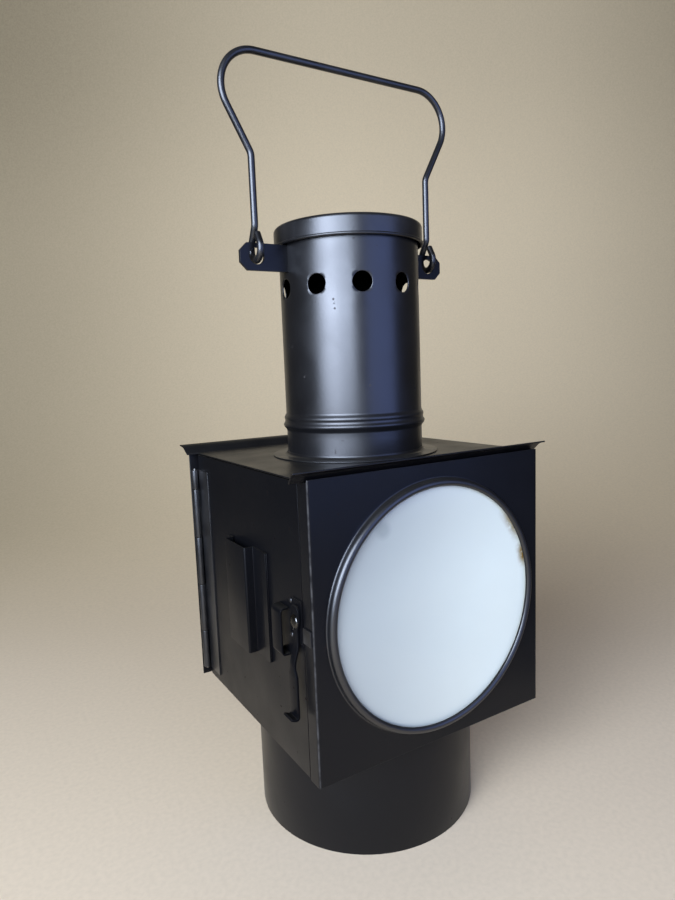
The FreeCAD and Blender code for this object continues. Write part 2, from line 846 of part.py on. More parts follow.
def gallery():
    inner = cone_radius - font_wall
    ring = turned((inner, burner_top), (gallery_radius, burner_top), (gallery_radius, gallery_z),
                  (inner, gallery_z))
    half = gallery_prong_width / 2
    edge = math.sqrt(gallery_radius ** 2 - half ** 2)
    prong = block(edge - sheet, edge, -half, half, burner_top, gallery_z + gallery_prong)
    prong.rotate(Vector(0, 0, 0), Vector(0, 0, 1), gallery_turn)
    return fused(ring, *around(gallery_prongs, prong, Vector(0, 0, 0), Vector(0, 0, 1)))


def wick_tube():
    tube = wick_slot(0, wick_tube_foot, wick_tube_top)
    x = wick_tube_half - wick_wall
    bore = block(-x, x, -wick_tube_inner, wick_tube_inner, wick_tube_foot - sheet, wick_tube_top + sheet)
    half = wheel_thick / 2 + seat_gap
    tall = wheel_radius + seat_gap
    slots = []
    for x in (-wheel_spacing / 2, wheel_spacing / 2):
        slots.append(block(x - half, x + half, 0, wick_tube_outer + sheet, shaft_z - tall, shaft_z + tall))
    return tube.cut([bore] + slots)


def wick():
    x, y = wick_width / 2, wick_thick / 2
    return block(-x, x, -y, y, wick_tube_foot - wick_tail, wick_tube_top + wick_show)


def flame_cone():
    wall = wick_wall
    top = gallery_z + cone_height
    shoulder = gallery_z + cone_shoulder
    through = (cone_radius - cone_draw, shoulder)
    inside = (cone_radius - cone_draw - wall, shoulder)
    foot_inside = (cone_radius - wall, gallery_z)
    dome = turned((cone_radius, gallery_z), (through, (0, top)), (0, top - wall), (inside, foot_inside))
    x = wick_tube_half + cone_slot
    y = wick_tube_outer + cone_slot
    return dome.cut(block(-x, x, -y, y, shoulder, top + sheet))


def lamp_glass():
    foot = gallery_z + seat_gap
    top = foot + lamp_glass_height
    base = gallery_radius - sheet - lamp_glass_gap
    waist = foot + gallery_prong
    belly = foot + lamp_belly_lift
    shoulder = foot + lamp_neck_lift
    w = lamp_glass_wall
    return turned(
        (base, foot), (base, waist), ((lamp_glass_belly, belly), (lamp_glass_top, shoulder)),
        (lamp_glass_top, top), (lamp_glass_top - w, top), (lamp_glass_top - w, shoulder),
        ((lamp_glass_belly - w, belly), (base - w, waist)), (base - w, foot))


# Wick winder


def wick_shaft():
    return along_shaft(shaft_radius, -shaft_reach, burner_radius + sheet)


def wick_wheels():
    step = 180 / wheel_teeth
    tips = []
    for i in range(2 * wheel_teeth):
        tips.append(polar((shaft_y, shaft_z), wheel_radius - wheel_tooth * (i % 2), 180 + step * i))
    wheel = outline(in_section, *tips).extrude(Vector(wheel_thick, 0, 0))
    wheel = wheel.cut(along_shaft(shaft_radius + running_gap, -wheel_thick, 2 * wheel_thick))
    wheels = []
    for x in (-wheel_spacing / 2, wheel_spacing / 2):
        copy = wheel.copy()
        copy.translate(Vector(x - wheel_thick / 2, 0, 0))
        wheels.append(copy)
    return Part.makeCompound(wheels)


def wick_knob():
    back = -shaft_reach + knob_thick
    groove = along_shaft(knob_groove, -shaft_reach, back)
    groove.translate(Vector(0, knob_radius, 0))
    grooves = around(knob_grooves, groove, Vector(0, shaft_y, shaft_z), Vector(1, 0, 0))
    bore = along_shaft(shaft_radius + running_gap, -shaft_reach, back)
    return along_shaft(knob_radius, -shaft_reach, back).cut(grooves + [bore])


nodes = {
    "base_collar": base_collar(),
    "floor_plate": floor_plate(),
    "front_panel": front_panel(),
    "right_wall": right_wall(),
    "rear_wall": rear_wall(),
    "roof_plate": roof_plate(),
    "milk_glass": milk_glass(),
    "glass_seal": glass_seal(),
    "glass_ring": glass_ring(),
    "glass_clips": glass_clips(),
    "chimney_flange": chimney_flange(),
    "chimney_foot": chimney_foot(),
    "chimney_tube": chimney_tube(),
    "chimney_cap": chimney_cap(),
    "right_ear": right_ear(),
    "left_ear": mirrored(right_ear(), Vector(1, 0, 0)),
    "bail": bail(),
    "fixed_hinge_leaf": fixed_hinge_leaf(),
    "door_hinge_leaf": door_hinge_leaf(),
    "hinge_pin": hinge_pin(),
    "door_panel": door_panel(),
    "side_pocket": side_pocket(),
    "pull_handle": pull_handle(),
    "latch_plate": latch_plate(),
    "latch_rivets": latch_rivets(),
    "latch_lever": latch_lever(),
    "latch_stud": latch_stud(),
    "latch_tongue": latch_tongue(),
    "wear_plate": wear_plate(),
    "font_rails": font_rails(),
    "oil_font": oil_font(),
    "filler_cap": filler_cap(),
    "burner_collar": burner_collar(),
    "burner_body": burner_body(),
    "gallery": gallery(),
    "flame_cone": flame_cone(),
    "lamp_glass": lamp_glass(),
    "wick_tube": wick_tube(),
    "wick": wick(),
    "wick_shaft": wick_shaft(),
    "wick_wheels": wick_wheels(),
    "wick_knob": wick_knob(),
}

os.makedirs("parts", exist_ok=True)
for name, shape in nodes.items():
    shape.exportStep("parts/" + name + ".step")
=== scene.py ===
import json
import math

import bmesh
import bpy
import numpy as np
from mathutils import Matrix


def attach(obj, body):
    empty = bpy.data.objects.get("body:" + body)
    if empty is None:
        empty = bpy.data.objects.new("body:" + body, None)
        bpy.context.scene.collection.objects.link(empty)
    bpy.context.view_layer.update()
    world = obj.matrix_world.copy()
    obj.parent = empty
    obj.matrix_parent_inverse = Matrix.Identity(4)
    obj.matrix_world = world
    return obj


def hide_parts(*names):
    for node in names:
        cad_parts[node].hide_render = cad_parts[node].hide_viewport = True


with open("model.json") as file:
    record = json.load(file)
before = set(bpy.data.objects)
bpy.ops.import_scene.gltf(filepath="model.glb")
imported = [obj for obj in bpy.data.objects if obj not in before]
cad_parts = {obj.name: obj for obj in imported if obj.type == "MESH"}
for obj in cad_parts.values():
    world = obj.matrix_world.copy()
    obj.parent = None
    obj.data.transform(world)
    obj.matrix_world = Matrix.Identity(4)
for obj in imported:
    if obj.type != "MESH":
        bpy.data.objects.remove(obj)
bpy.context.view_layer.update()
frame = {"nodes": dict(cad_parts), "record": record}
nodes = frame["nodes"]
mm = 0.001
perMetre = 1000  # mm in a metre
alongX, alongY, alongZ = np.eye(3)
print("frame loaded:", len(nodes), "nodes")


# Meshes. The lantern's shapes are worked out in millimetres and stored in metres.

# weld and sliver are in metres, sharp in degrees and hair in mm
meshing = {"weld": 2e-6, "sliver": 1e-7, "sharp": 35, "hair": 0.01}


def gridFaces(rows, cols, wrap=False):
    # quads (i, j), (i, j+1), (i+1, j+1), (i+1, j) of a rows x cols grid, with the columns closed if wrap
    i, j = np.meshgrid(np.arange(rows - 1), np.arange(cols if wrap else cols - 1), indexing="ij")
    k = (j + 1) % cols
    return np.stack([i * cols + j, i * cols + k, (i + 1) * cols + k, (i + 1) * cols + j], -1).reshape(-1, 4)


def joinParts(*parts):
    # stacks (points, faces) pairs, each face index moved on by the points before it
    starts = np.cumsum([0] + [len(p) for p, f in parts[:-1]])
    return np.concatenate([p for p, f in parts]), np.concatenate([f + s for (p, f), s in zip(parts, starts)])


def placePiece(name, mesh, material):
    mesh.polygons.foreach_set("use_smooth", np.ones(len(mesh.polygons), bool))
    mesh.materials.append(material)
    piece = bpy.data.objects.new(name, mesh)
    bpy.context.scene.collection.objects.link(piece)
    return piece


def putMesh(name, part, material, stands=(), body="lantern", sharp=meshing["sharp"]):
    points, faces = part
    mesh = bpy.data.meshes.new(name)
    mesh.vertices.add(len(points))
    mesh.vertices.foreach_set("co", (points * mm).astype(np.float32).ravel())
    mesh.loops.add(faces.size)
    mesh.loops.foreach_set("vertex_index", faces.astype(np.int32).ravel())
    mesh.polygons.add(len(faces))
    mesh.polygons.foreach_set("loop_start", np.arange(0, faces.size, faces.shape[1], dtype=np.int32))
    mesh.update(calc_edges=True)
    work = bmesh.new()
    work.from_mesh(mesh)
    bmesh.ops.remove_doubles(work, verts=work.verts, dist=meshing["weld"])
    bmesh.ops.dissolve_degenerate(work, edges=work.edges, dist=meshing["sliver"])
    bmesh.ops.recalc_face_normals(work, faces=work.faces)
    work.to_mesh(mesh)
    work.free()
    piece = placePiece(name, mesh, material)
    mesh.set_sharp_from_angle(angle=math.radians(sharp))
    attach(piece, body)
    if stands:
        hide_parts(*stands)


def unit(v):
    return v / np.linalg.norm(v, axis=-1, keepdims=True)


def pointsOf(*coordinates):
    # numbers and arrays side by side, as points
    return np.stack(np.broadcast_arrays(*coordinates), -1)


def arc(centre, radius, start, end, count):
    # centre + radius (cos a, sin a), with a from start to end in degrees
    a = np.radians(np.linspace(start, end, count))
    return pointsOf(centre[0] + radius * np.cos(a), centre[1] + radius * np.sin(a))


def roundCorners(points, radius, steps=6, closed=False, most=0.48):
    # each corner c becomes (1-t)^2 a + 2t(1-t) c + t^2 b, with a and b set back from it by the radius,
    # or by most of the shorter side where that is less
    p = np.asarray(points, float)
    back = np.roll(p, 1, 0) - p
    on = np.roll(p, -1, 0) - p
    lengths = np.minimum(np.linalg.norm(back, axis=1), np.linalg.norm(on, axis=1))
    away = np.minimum(radius, most * lengths)[:, None]
    if not closed:
        away[[0, -1]] = 0
    a, b = p + unit(back) * away, p + unit(on) * away
    t = np.linspace(0, 1, steps + 1)[None, :, None]
    curve = (1 - t) ** 2 * a[:, None] + 2 * t * (1 - t) * p[:, None] + t * t * b[:, None]
    if closed:
        return curve.reshape(-1, p.shape[1])
    return np.concatenate([p[:1], curve[1:-1].reshape(-1, p.shape[1]), p[-1:]])


def runOf(path):
    # how far along the line each of its points lies
    return np.concatenate([[0], np.cumsum(np.linalg.norm(np.diff(path, axis=0), axis=1))])


def resample(path, step):
    # the same line with points a step apart along its length
    run = runOf(path)
    at = np.linspace(0, run[-1], max(2, int(round(run[-1] / step)) + 1))
    return pointsOf(*[np.interp(at, run, values) for values in path.T])


def closedLoop(profile):
    return np.concatenate([profile, profile[:1]])


def turnedSurface(profile, count, start=0.0):
    # profile (r, z) carried round Z: x = r sin a, y = -r cos a; ends on the axis close by themselves
    a = start + np.linspace(0, 2 * np.pi, count, endpoint=False)
    r, z = (column[:, None] for column in np.asarray(profile, float).T)
    return pointsOf(r * np.sin(a), -r * np.cos(a), z).reshape(-1, 3), gridFaces(len(r), count, True)


def towardDoor(part, place):
    # turns a shape made about Z to stand about -X, and moves it to its place
    points, faces = part
    x, y, z = points.T
    return pointsOf(-z, x, -y) + np.asarray(place), faces


def towardFront(part, place):
    # turns a shape made about Z to stand about -Y, and moves it to its place
    points, faces = part
    x, y, z = points.T
    return pointsOf(x, -z, y) + np.asarray(place), faces


def wireAlong(path, radius, guide, sides, edge):
    # a circle of the radius carried along the path; the guide, made square to the path, sets where it starts;
    # each cut end is a flat disc with a small chamfer
    n = len(path)
    tangent = unit(np.gradient(path, axis=0))
    first = unit(guide - (guide * tangent).sum(1, keepdims=True) * tangent)
    second = np.cross(tangent, first)
    a = np.linspace(0, 2 * np.pi, sides, endpoint=False)[:, None]
    index = np.concatenate([[0, 0], np.arange(n), [n - 1, n - 1]])
    size = np.concatenate([[0, radius - edge], np.full(n, radius), [radius - edge, 0]])
    shift = np.concatenate([[0, 0, edge], np.zeros(n - 2), [-edge, 0, 0]])
    centre = path[index] + tangent[index] * shift[:, None]
    ring = first[index][:, None] * np.cos(a) + second[index][:, None] * np.sin(a)
    points = centre[:, None] + ring * size[:, None, None]
    return points.reshape(-1, 3), gridFaces(len(index), sides, True)


def bandAlong(path, across, halfWidth, halfThick, edge=0.35):
    # a rounded rectangle (2 halfWidth x 2 halfThick) carried along the path, its width along the across way
    path = np.asarray(path, float)
    n = len(path)
    tangent = unit(np.gradient(path, axis=0))
    across = np.broadcast_to(np.asarray(across, float), (n, 3))
    normal = unit(np.cross(tangent, across))
    wide = np.broadcast_to(np.asarray(halfWidth, float), (n,))
    thick = np.broadcast_to(np.asarray(halfThick, float), (n,))
    turn = np.radians([0, 30, 60, 90])
    angle = np.concatenate([turn + np.pi / 2 * q for q in range(4)])
    signX = np.repeat([1, -1, -1, 1], 4)
    signY = np.repeat([1, 1, -1, -1], 4)
    # stations: a point, a ring drawn in by the edge, the full rings, and the same at the far end
    index = np.concatenate([[0, 0], np.arange(n), [n - 1, n - 1]])
    grow = np.concatenate([[0, 1], np.ones(n), [1, 0]])
    draw = np.concatenate([[edge, edge], np.zeros(n), [edge, edge]])
    shift = np.concatenate([[0, 0], [edge], np.zeros(n - 2), [-edge], [0, 0]])
    x = (signX * (wide[index][:, None] - edge) + (edge - draw[:, None]) * np.cos(angle)) * grow[:, None]
    y = (signY * (thick[index][:, None] - edge) + (edge - draw[:, None]) * np.sin(angle)) * grow[:, None]
    centre = path[index] + tangent[index] * shift[:, None]
    points = centre[:, None] + across[index][:, None] * x[..., None] + normal[index][:, None] * y[..., None]
    return points.reshape(-1, 3), gridFaces(len(index), len(angle), True)


def squareLine(count):
    # x and y round a square from -1 to 1, with count points to a side
    side = np.linspace(-1, 1, count, endpoint=False)
    one = np.ones(count)
    return np.concatenate([side, one, -side, -one]), np.concatenate([-one, side, one, -side])


def holedPlate(profile, halfX, halfY, count):
    # rings about a round hole that grow into a rectangle: radius = r + s (edge(a) - r), height z;
    # profile rows are (r, s, z), and edge(a) is the way from the middle to the rectangle's side
    squareX, squareY = squareLine(count)
    edgeX, edgeY = squareX * halfX, squareY * halfY
    reach = np.hypot(edgeX, edgeY)
    r, s, z = (column[:, None] for column in np.asarray(profile, float).T)
    radius = r + s * (reach - r)
    points = pointsOf(radius * edgeX / reach, radius * edgeY / reach, z)
    return points.reshape(-1, 3), gridFaces(len(r), 4 * count, True)


# Materials. A pattern's scale is perMetre / its size in mm, because Object coordinates are in metres.
# A Mix node takes its share at 0, two numbers at 2 and 3, and two colours at 6 and 7.

def hexLinear(code):
    # sRGB to linear: c / 12.92 below 0.04045, else ((c + 0.055) / 1.055) ^ 2.4
    c = np.array([int(code[i:i + 2], 16) for i in (1, 3, 5)]) / 255
    linear = np.where(c <= 0.04045, c / 12.92, ((c + 0.055) / 1.055) ** 2.4)
    return (*linear.tolist(), 1.0)


def setInputs(node, inputs):
    # an input is a plain value, a hex colour, or the output socket that feeds it
    for key, value in inputs.items():
        if isinstance(value, bpy.types.NodeSocket):
            node.id_data.links.new(value, node.inputs[key])
        else:
            node.inputs[key].default_value = hexLinear(value) if isinstance(value, str) else value


def addNode(tree, kind, inputs, output=None, **settings):
    # gives the output of that name, or else the first one that the settings leave in use
    node = tree.nodes.new("ShaderNode" + kind)
    for key, value in settings.items():
        setattr(node, key, value)
    setInputs(node, inputs)
    return node.outputs[output] if output else next(o for o in node.outputs if o.enabled)


def startMaterial(name, inputs):
    material = bpy.data.materials.new(name)
    material.use_nodes = True
    tree = material.node_tree
    shader = tree.nodes["Principled BSDF"]
    setInputs(shader, inputs)
    return material, tree, shader, addNode(tree, "TexCoord", {}, "Object")


def addFades(tree, place, fades):
    # the sum of smooth fades, each (axis, start, end, most) with its start and end in metres
    parts = addNode(tree, "SeparateXYZ", {0: place}).node.outputs
    total = 0.0
    for axis, start, end, most in fades:
        fade = addNode(tree, "MapRange", {"Value": parts[axis], "From Min": start, "From Max": end,
                                          "To Max": most}, interpolation_type="SMOOTHSTEP")
        total = addNode(tree, "Math", {0: fade, 1: total}, operation="ADD")
    return total


satinPaint = {
    "black": "#0b0b0d", "wearAndHighlight": "#4d4b49", "bareRust": "#1a1310", "dust": "#3a362e", "paintedShadeColour": "#040403",
    "peelMm": 2.4, "waveMm": 110, "cloudMm": 38, "chipMm": 4.5, "nickCore": 0.6,
    "foldMm": 1.0, "foldCore": 0.4, "gapMm": 9, "wipeFadeMm": 1.0, "sootFadeMm": 0.3,
    "roughLow": 0.29, "roughHigh": 0.38, "dustRough": 0.2, "chipRough": 0.75, "sootRough": 0.95,
    "shine": 0.5, "wipedShine": 2.2, "sootShine": 0.03,
}


def makeSatinPaint(name, gloss=1.6, handWearAndSheen=0.0, edgeWear=0.3, edgeMm=0.6, foldHighlightAt=None, beadAt=None,
                   sootAndShadeWithin=None, nicks=()):
    # Brushed-on satin black enamel over sheet steel: deep black with a soft broad gloss, a little orange
    # peel, slow waves of the hand-bent sheet, rubbed edges, dull chips and dust on what faces up.
    # Where hands and hinges rub (handled), the paint is thin and greyer; the grey is also a painted
    # highlight, so such pieces catch the light.
    # An upright fold at (x, y) mm gets a broken bright line, a painted highlight. A bead within a radius of
    # (x, z), all in mm, is polished by wiping. Within a radius in mm of the upright axis the sheet is coated
    # with dead black soot, which also paints the shade inside, so that the vents look into the dark. Nicks
    # (x, y, z, radius) in mm are knocks down to the dull primer. Gloss is the shader's IOR: the lower it is,
    # the more weathered and matt the paint looks.
    look = satinPaint
    material, tree, shader, place = startMaterial(name, {"IOR": gloss})
    soft = addNode(tree, "Bevel", {"Radius": edgeMm * mm}, samples=4)
    geometry = addNode(tree, "NewGeometry", {}).node.outputs
    flat = addNode(tree, "VectorMath", {0: place, 1: (1, 1, 0)}, operation="MULTIPLY")
    # the sheet's waves and the paint's peel
    wave = addNode(tree, "TexNoise", {"Vector": place, "Scale": perMetre / look["waveMm"], "Detail": 1.0})
    peel = addNode(tree, "TexNoise", {"Vector": place, "Scale": perMetre / look["peelMm"], "Detail": 2.0})
    waved = addNode(tree, "Bump", {"Height": wave, "Strength": 0.3, "Distance": 0.006, "Normal": soft})
    peeled = addNode(tree, "Bump", {"Height": peel, "Strength": 0.08, "Distance": 0.0004, "Normal": waved})
    # folds rub bare: where the rounded normal leaves the true one, broken up by cloudy patches
    cloud = addNode(tree, "TexNoise", {"Vector": place, "Scale": perMetre / look["cloudMm"], "Detail": 4.0})
    away = addNode(tree, "VectorMath", {0: soft, 1: geometry["True Normal"]}, operation="DOT_PRODUCT")
    fold = addNode(tree, "MapRange", {"Value": away, "From Min": 0.97, "From Max": 0.8})
    patchy = addNode(tree, "MapRange", {"Value": cloud, "From Min": 0.4, "From Max": 0.65,
                                        "To Min": 0.4 * handWearAndSheen, "To Max": edgeWear})
    rubbed = addNode(tree, "Math", {0: fold, 1: patchy}, operation="MULTIPLY")
    # thin greyer patches on handled pieces: worn paint, and also a painted highlight on them
    thinAndHighlight = addNode(tree, "MapRange", {"Value": cloud, "From Min": 0.42, "From Max": 0.68,
                                      "To Max": 0.3 * handWearAndSheen})
    bareAndHighlight = addNode(tree, "Math", {0: rubbed, 1: thinAndHighlight}, operation="MAXIMUM")
    # painted highlight: a broken bright line down one upright fold, the one that faces the light
    if foldHighlightAt:
        line = (foldHighlightAt[0] * mm, foldHighlightAt[1] * mm, 0)
        reach = addNode(tree, "VectorMath", {0: flat, 1: line}, operation="DISTANCE")
        close = addNode(tree, "MapRange", {"Value": reach, "From Min": look["foldMm"] * mm,
                                           "From Max": look["foldCore"] * look["foldMm"] * mm})
        gaps = addNode(tree, "TexNoise", {"Vector": place, "Scale": perMetre / look["gapMm"], "Detail": 5.0})
        some = addNode(tree, "MapRange", {"Value": gaps, "From Min": 0.38, "From Max": 0.6, "To Min": 0.15})
        folded = addNode(tree, "Math", {0: close, 1: some}, operation="MULTIPLY")
        bareAndHighlight = addNode(tree, "Math", {0: bareAndHighlight, 1: folded}, operation="MAXIMUM")
    # dull chips, few and small
    speck = addNode(tree, "TexNoise", {"Vector": place, "Scale": perMetre / look["chipMm"], "Detail": 2.0})
    chip = addNode(tree, "MapRange", {"Value": speck, "From Min": 0.74, "From Max": 0.76})
    for x, y, z, radius in nicks:
        reach = addNode(tree, "VectorMath", {0: place, 1: (x * mm, y * mm, z * mm)}, operation="DISTANCE")
        nick = addNode(tree, "MapRange", {"Value": reach, "From Min": radius * mm,
                                          "From Max": look["nickCore"] * radius * mm})
        chip = addNode(tree, "Math", {0: chip, 1: nick}, operation="MAXIMUM")
    # dust lies on what faces up
    upward = addNode(tree, "SeparateXYZ", {0: geometry["Normal"]}, "Z")
    lying = addNode(tree, "MapRange", {"Value": upward, "From Min": 0.5, "From Max": 1.0, "To Max": 0.5})
    dusty = addNode(tree, "Math", {0: lying, 1: cloud}, operation="MULTIPLY")
    coat = addNode(tree, "Mix", {0: dusty, 6: look["black"], 7: look["dust"]}, data_type="RGBA")
    # the worn grey, partly a painted highlight, laid over the dusty black
    rubAndHighlight = addNode(tree, "Mix", {0: bareAndHighlight, 6: coat, 7: look["wearAndHighlight"]}, data_type="RGBA")
    colour = addNode(tree, "Mix", {0: chip, 6: rubAndHighlight, 7: look["bareRust"]}, data_type="RGBA")
    sheen = addNode(tree, "MapRange", {"Value": cloud, "From Min": 0.3, "From Max": 0.7,
                                       "To Min": look["roughLow"], "To Max": look["roughHigh"]})
    dull = addNode(tree, "Math", {0: dusty, 1: look["dustRough"], 2: sheen}, operation="MULTIPLY_ADD")
    rough = addNode(tree, "Mix", {0: chip, 2: dull, 3: look["chipRough"]})
    if beadAt:
        x, z, radius = (v * mm for v in beadAt)
        facing = addNode(tree, "VectorMath", {0: place, 1: (1, 0, 1)}, operation="MULTIPLY")
        reach = addNode(tree, "VectorMath", {0: facing, 1: (x, 0, z)}, operation="DISTANCE")
        wiped = addNode(tree, "MapRange", {"Value": reach, "From Min": radius + look["wipeFadeMm"] * mm,
                                           "From Max": radius, "To Min": look["shine"],
                                           "To Max": look["wipedShine"]})
        setInputs(shader, {"Specular IOR Level": wiped})
    # soot inside the chimney, dead black, which also paints the shade inside so that the vents look into the
    # dark
    if sootAndShadeWithin:
        reach = addNode(tree, "VectorMath", {0: flat}, operation="LENGTH")
        sooty = addNode(tree, "MapRange", {"Value": reach, "From Min": sootAndShadeWithin * mm,
                                           "From Max": (sootAndShadeWithin - look["sootFadeMm"]) * mm})
        colour = addNode(tree, "Mix", {0: sooty, 6: colour, 7: look["paintedShadeColour"]}, data_type="RGBA")
        rough = addNode(tree, "Mix", {0: sooty, 2: rough, 3: look["sootRough"]})
        dead = addNode(tree, "MapRange", {"Value": sooty, "To Min": look["shine"],
                                          "To Max": look["sootShine"]})
        setInputs(shader, {"Specular IOR Level": dead})
    setInputs(shader, {"Base Color": colour, "Roughness": rough, "Normal": peeled})
    return material


# sizes in mm, and places (x, z) in mm from the glass's middle; stains are (x, z, reach, share); the painted
# shade has its own colour, and its fades are in metres
opalGlass = {
    "white": "#dadfd1", "cream": "#d5d7c7", "rust": "#7e5f10", "smudge": "#858b87", "paintedShadeColour": "#7f8384",
    "ior": 1.5, "rough": 0.16, "cloudMm": 70, "runMm": 5, "middle": (0.0, -118.3, 220.97),
    "glassShadeFades": (("X", 0.09, -0.1, 0.65), ("Z", 0.0, 0.1, 0.2)), "rim": (93.0, 100.5),
    "stains": ((95.7, 26.1, 13.0, 1.0), (82.2, 55.5, 20.0, 0.7)), "stainCore": 0.3,
    "smudgeAt": (-54.0, 72.7), "smudgeEdge": 9.0, "smudgeCore": 4.0, "smudgeShare": 0.6,
}


def makeOpalGlass():
    # Cast opal glass: milky all through, glossy, a little cloudy, with rust washed in from the rim, and
    # painted shade that greys it towards the door's side and the top.
    look = opalGlass
    plain = {"IOR": look["ior"], "Roughness": look["rough"]}
    material, tree, shader, place = startMaterial("opalGlass", plain)
    back = tuple(-v * mm for v in look["middle"])
    centred = addNode(tree, "Mapping", {"Vector": place, "Location": back})
    cloud = addNode(tree, "TexNoise", {"Vector": place, "Scale": perMetre / look["cloudMm"], "Detail": 3.0})
    clean = addNode(tree, "Mix", {0: cloud, 6: look["white"], 7: look["cream"]}, data_type="RGBA")
    # painted shade: the milky colour is greyed towards the door's side and towards the top
    glassShadeFades = addFades(tree, centred, look["glassShadeFades"])
    shadedMilk = addNode(tree, "Mix", {0: glassShadeFades, 6: clean, 7: look["paintedShadeColour"]}, data_type="RGBA")
    # the stains: near a point of the rim, outside a radius, eaten into by noise
    near = 0.0
    for x, z, reach, share in look["stains"]:
        toStain = addNode(tree, "VectorMath", {0: centred, 1: (x * mm, 0, z * mm)}, operation="DISTANCE")
        spot = addNode(tree, "MapRange", {"Value": toStain, "From Min": reach * mm,
                                          "From Max": look["stainCore"] * reach * mm, "To Max": share})
        near = addNode(tree, "Math", {0: spot, 1: near}, operation="MAXIMUM")
    out = addNode(tree, "VectorMath", {0: centred}, operation="LENGTH")
    rimStart, rimEnd = look["rim"]
    rim = addNode(tree, "MapRange", {"Value": out, "From Min": rimStart * mm, "From Max": rimEnd * mm})
    run = addNode(tree, "TexNoise", {"Vector": place, "Scale": perMetre / look["runMm"], "Detail": 5.0})
    eaten = addNode(tree, "MapRange", {"Value": run, "From Min": 0.28, "From Max": 0.48})
    stain = addNode(tree, "Math", {0: near, 1: rim}, operation="MULTIPLY")
    stained = addNode(tree, "Math", {0: stain, 1: eaten}, operation="MULTIPLY")
    rusty = addNode(tree, "Mix", {0: stained, 6: shadedMilk, 7: look["rust"]}, data_type="RGBA")
    # one grey smudge, high on the door's side
    x, z = look["smudgeAt"]
    toSmudge = addNode(tree, "VectorMath", {0: centred, 1: (x * mm, 0, z * mm)}, operation="DISTANCE")
    smear = addNode(tree, "MapRange", {"Value": toSmudge, "From Min": look["smudgeEdge"] * mm,
                                       "From Max": look["smudgeCore"] * mm, "To Max": look["smudgeShare"]})
    colour = addNode(tree, "Mix", {0: smear, 6: rusty, 7: look["smudge"]}, data_type="RGBA")
    cast = addNode(tree, "Bump", {"Height": cloud, "Strength": 0.15, "Distance": 0.002})
    setInputs(shader, {"Base Color": colour, "Normal": cast})
    return material


bareMetals = {
    "wornSteel": {"bright": "#c9c6c0", "dull": "#7b7873", "rough": (0.18, 0.42), "grainMm": 0.8},
    "blackenedSteel": {"bright": "#6b6966", "dull": "#2a2927", "rough": (0.12, 0.3), "grainMm": 0.8},
    "tarnishedBrass": {"bright": "#b8914a", "dull": "#6e5528", "rough": (0.25, 0.5), "grainMm": 1.0},
}


def makeMetal(name, bright, dull, rough, grainMm, tarnishMm=14, edgeMm=0.5):
    # Bare metal with a cloudy tarnish and a fine grain that breaks up its gloss: pale steel, near-black
    # oiled steel, or brown-yellow brass.
    material, tree, shader, place = startMaterial(name, {"Metallic": 1.0})
    soft = addNode(tree, "Bevel", {"Radius": edgeMm * mm}, samples=4)
    tarnish = addNode(tree, "TexNoise", {"Vector": place, "Scale": perMetre / tarnishMm, "Detail": 5.0})
    grain = addNode(tree, "TexNoise", {"Vector": place, "Scale": perMetre / grainMm, "Detail": 2.0})
    share = addNode(tree, "MapRange", {"Value": tarnish, "From Min": 0.35, "From Max": 0.68})
    colour = addNode(tree, "Mix", {0: share, 6: bright, 7: dull}, data_type="RGBA")
    gloss = addNode(tree, "MapRange", {"Value": tarnish, "From Min": 0.3, "From Max": 0.7,
                                       "To Min": rough[0], "To Max": rough[1]})
    bump = addNode(tree, "Bump", {"Height": grain, "Strength": 0.15, "Distance": 0.0003, "Normal": soft})
    setInputs(shader, {"Base Color": colour, "Roughness": gloss, "Normal": bump})
    return material


cordLook = {"dark": "#15130f", "pale": "#2b2721", "fibreMm": 1.5, "rough": 0.85}


def makeSealCord():
    # Old black sealing cord: dull, slightly fibrous.
    look = cordLook
    material, tree, shader, place = startMaterial("sealCord", {"Roughness": look["rough"]})
    fibre = addNode(tree, "TexNoise", {"Vector": place, "Scale": perMetre / look["fibreMm"], "Detail": 3.0})
    colour = addNode(tree, "Mix", {0: fibre, 6: look["dark"], 7: look["pale"]}, data_type="RGBA")
    bump = addNode(tree, "Bump", {"Height": fibre, "Strength": 0.4, "Distance": 0.0005})
    setInputs(shader, {"Base Color": colour, "Normal": bump})
    return material


wickLook = {"shade": "#b3a380", "cotton": "#d8ccae", "char": "#120e0a", "rough": 0.9,
            "ribMm": 3.1567, "waveRadians": 20, "charFrom": 185.0, "charTo": 194.5}


def makeWickCotton():
    # Flat woven cotton lamp wick: warp ribs along its length, charred brown to black at its upper end.
    # The ribs are coarser than real thread so that they show. The wave texture runs 20 radians to a unit.
    look = wickLook
    material, tree, shader, place = startMaterial("wickCotton", {"Roughness": look["rough"]})
    scale = 2 * math.pi / look["waveRadians"] * perMetre / look["ribMm"]
    rib = addNode(tree, "TexWave", {"Vector": place, "Scale": scale, "Distortion": 0.6}, "Fac",
                  bands_direction="X")
    height = addNode(tree, "SeparateXYZ", {0: place}, "Z")
    char = addNode(tree, "MapRange", {"Value": height, "From Min": look["charFrom"] * mm,
                                      "From Max": look["charTo"] * mm})
    woven = addNode(tree, "Mix", {0: rib, 6: look["shade"], 7: look["cotton"]}, data_type="RGBA")
    burnt = addNode(tree, "Mix", {0: char, 6: woven, 7: look["char"]}, data_type="RGBA")
    bump = addNode(tree, "Bump", {"Height": rib, "Strength": 0.5, "Distance": 0.0005})
    setInputs(shader, {"Base Color": burnt, "Normal": bump})
    return material


blownGlass = {"clear": "#f6faf9", "smoke": "#5b5348", "ior": 1.47, "smokeMm": 25, "smokeFrom": 250.0,
              "smokeTo": 300.0, "roughLow": 0.03, "roughHigh": 0.4}


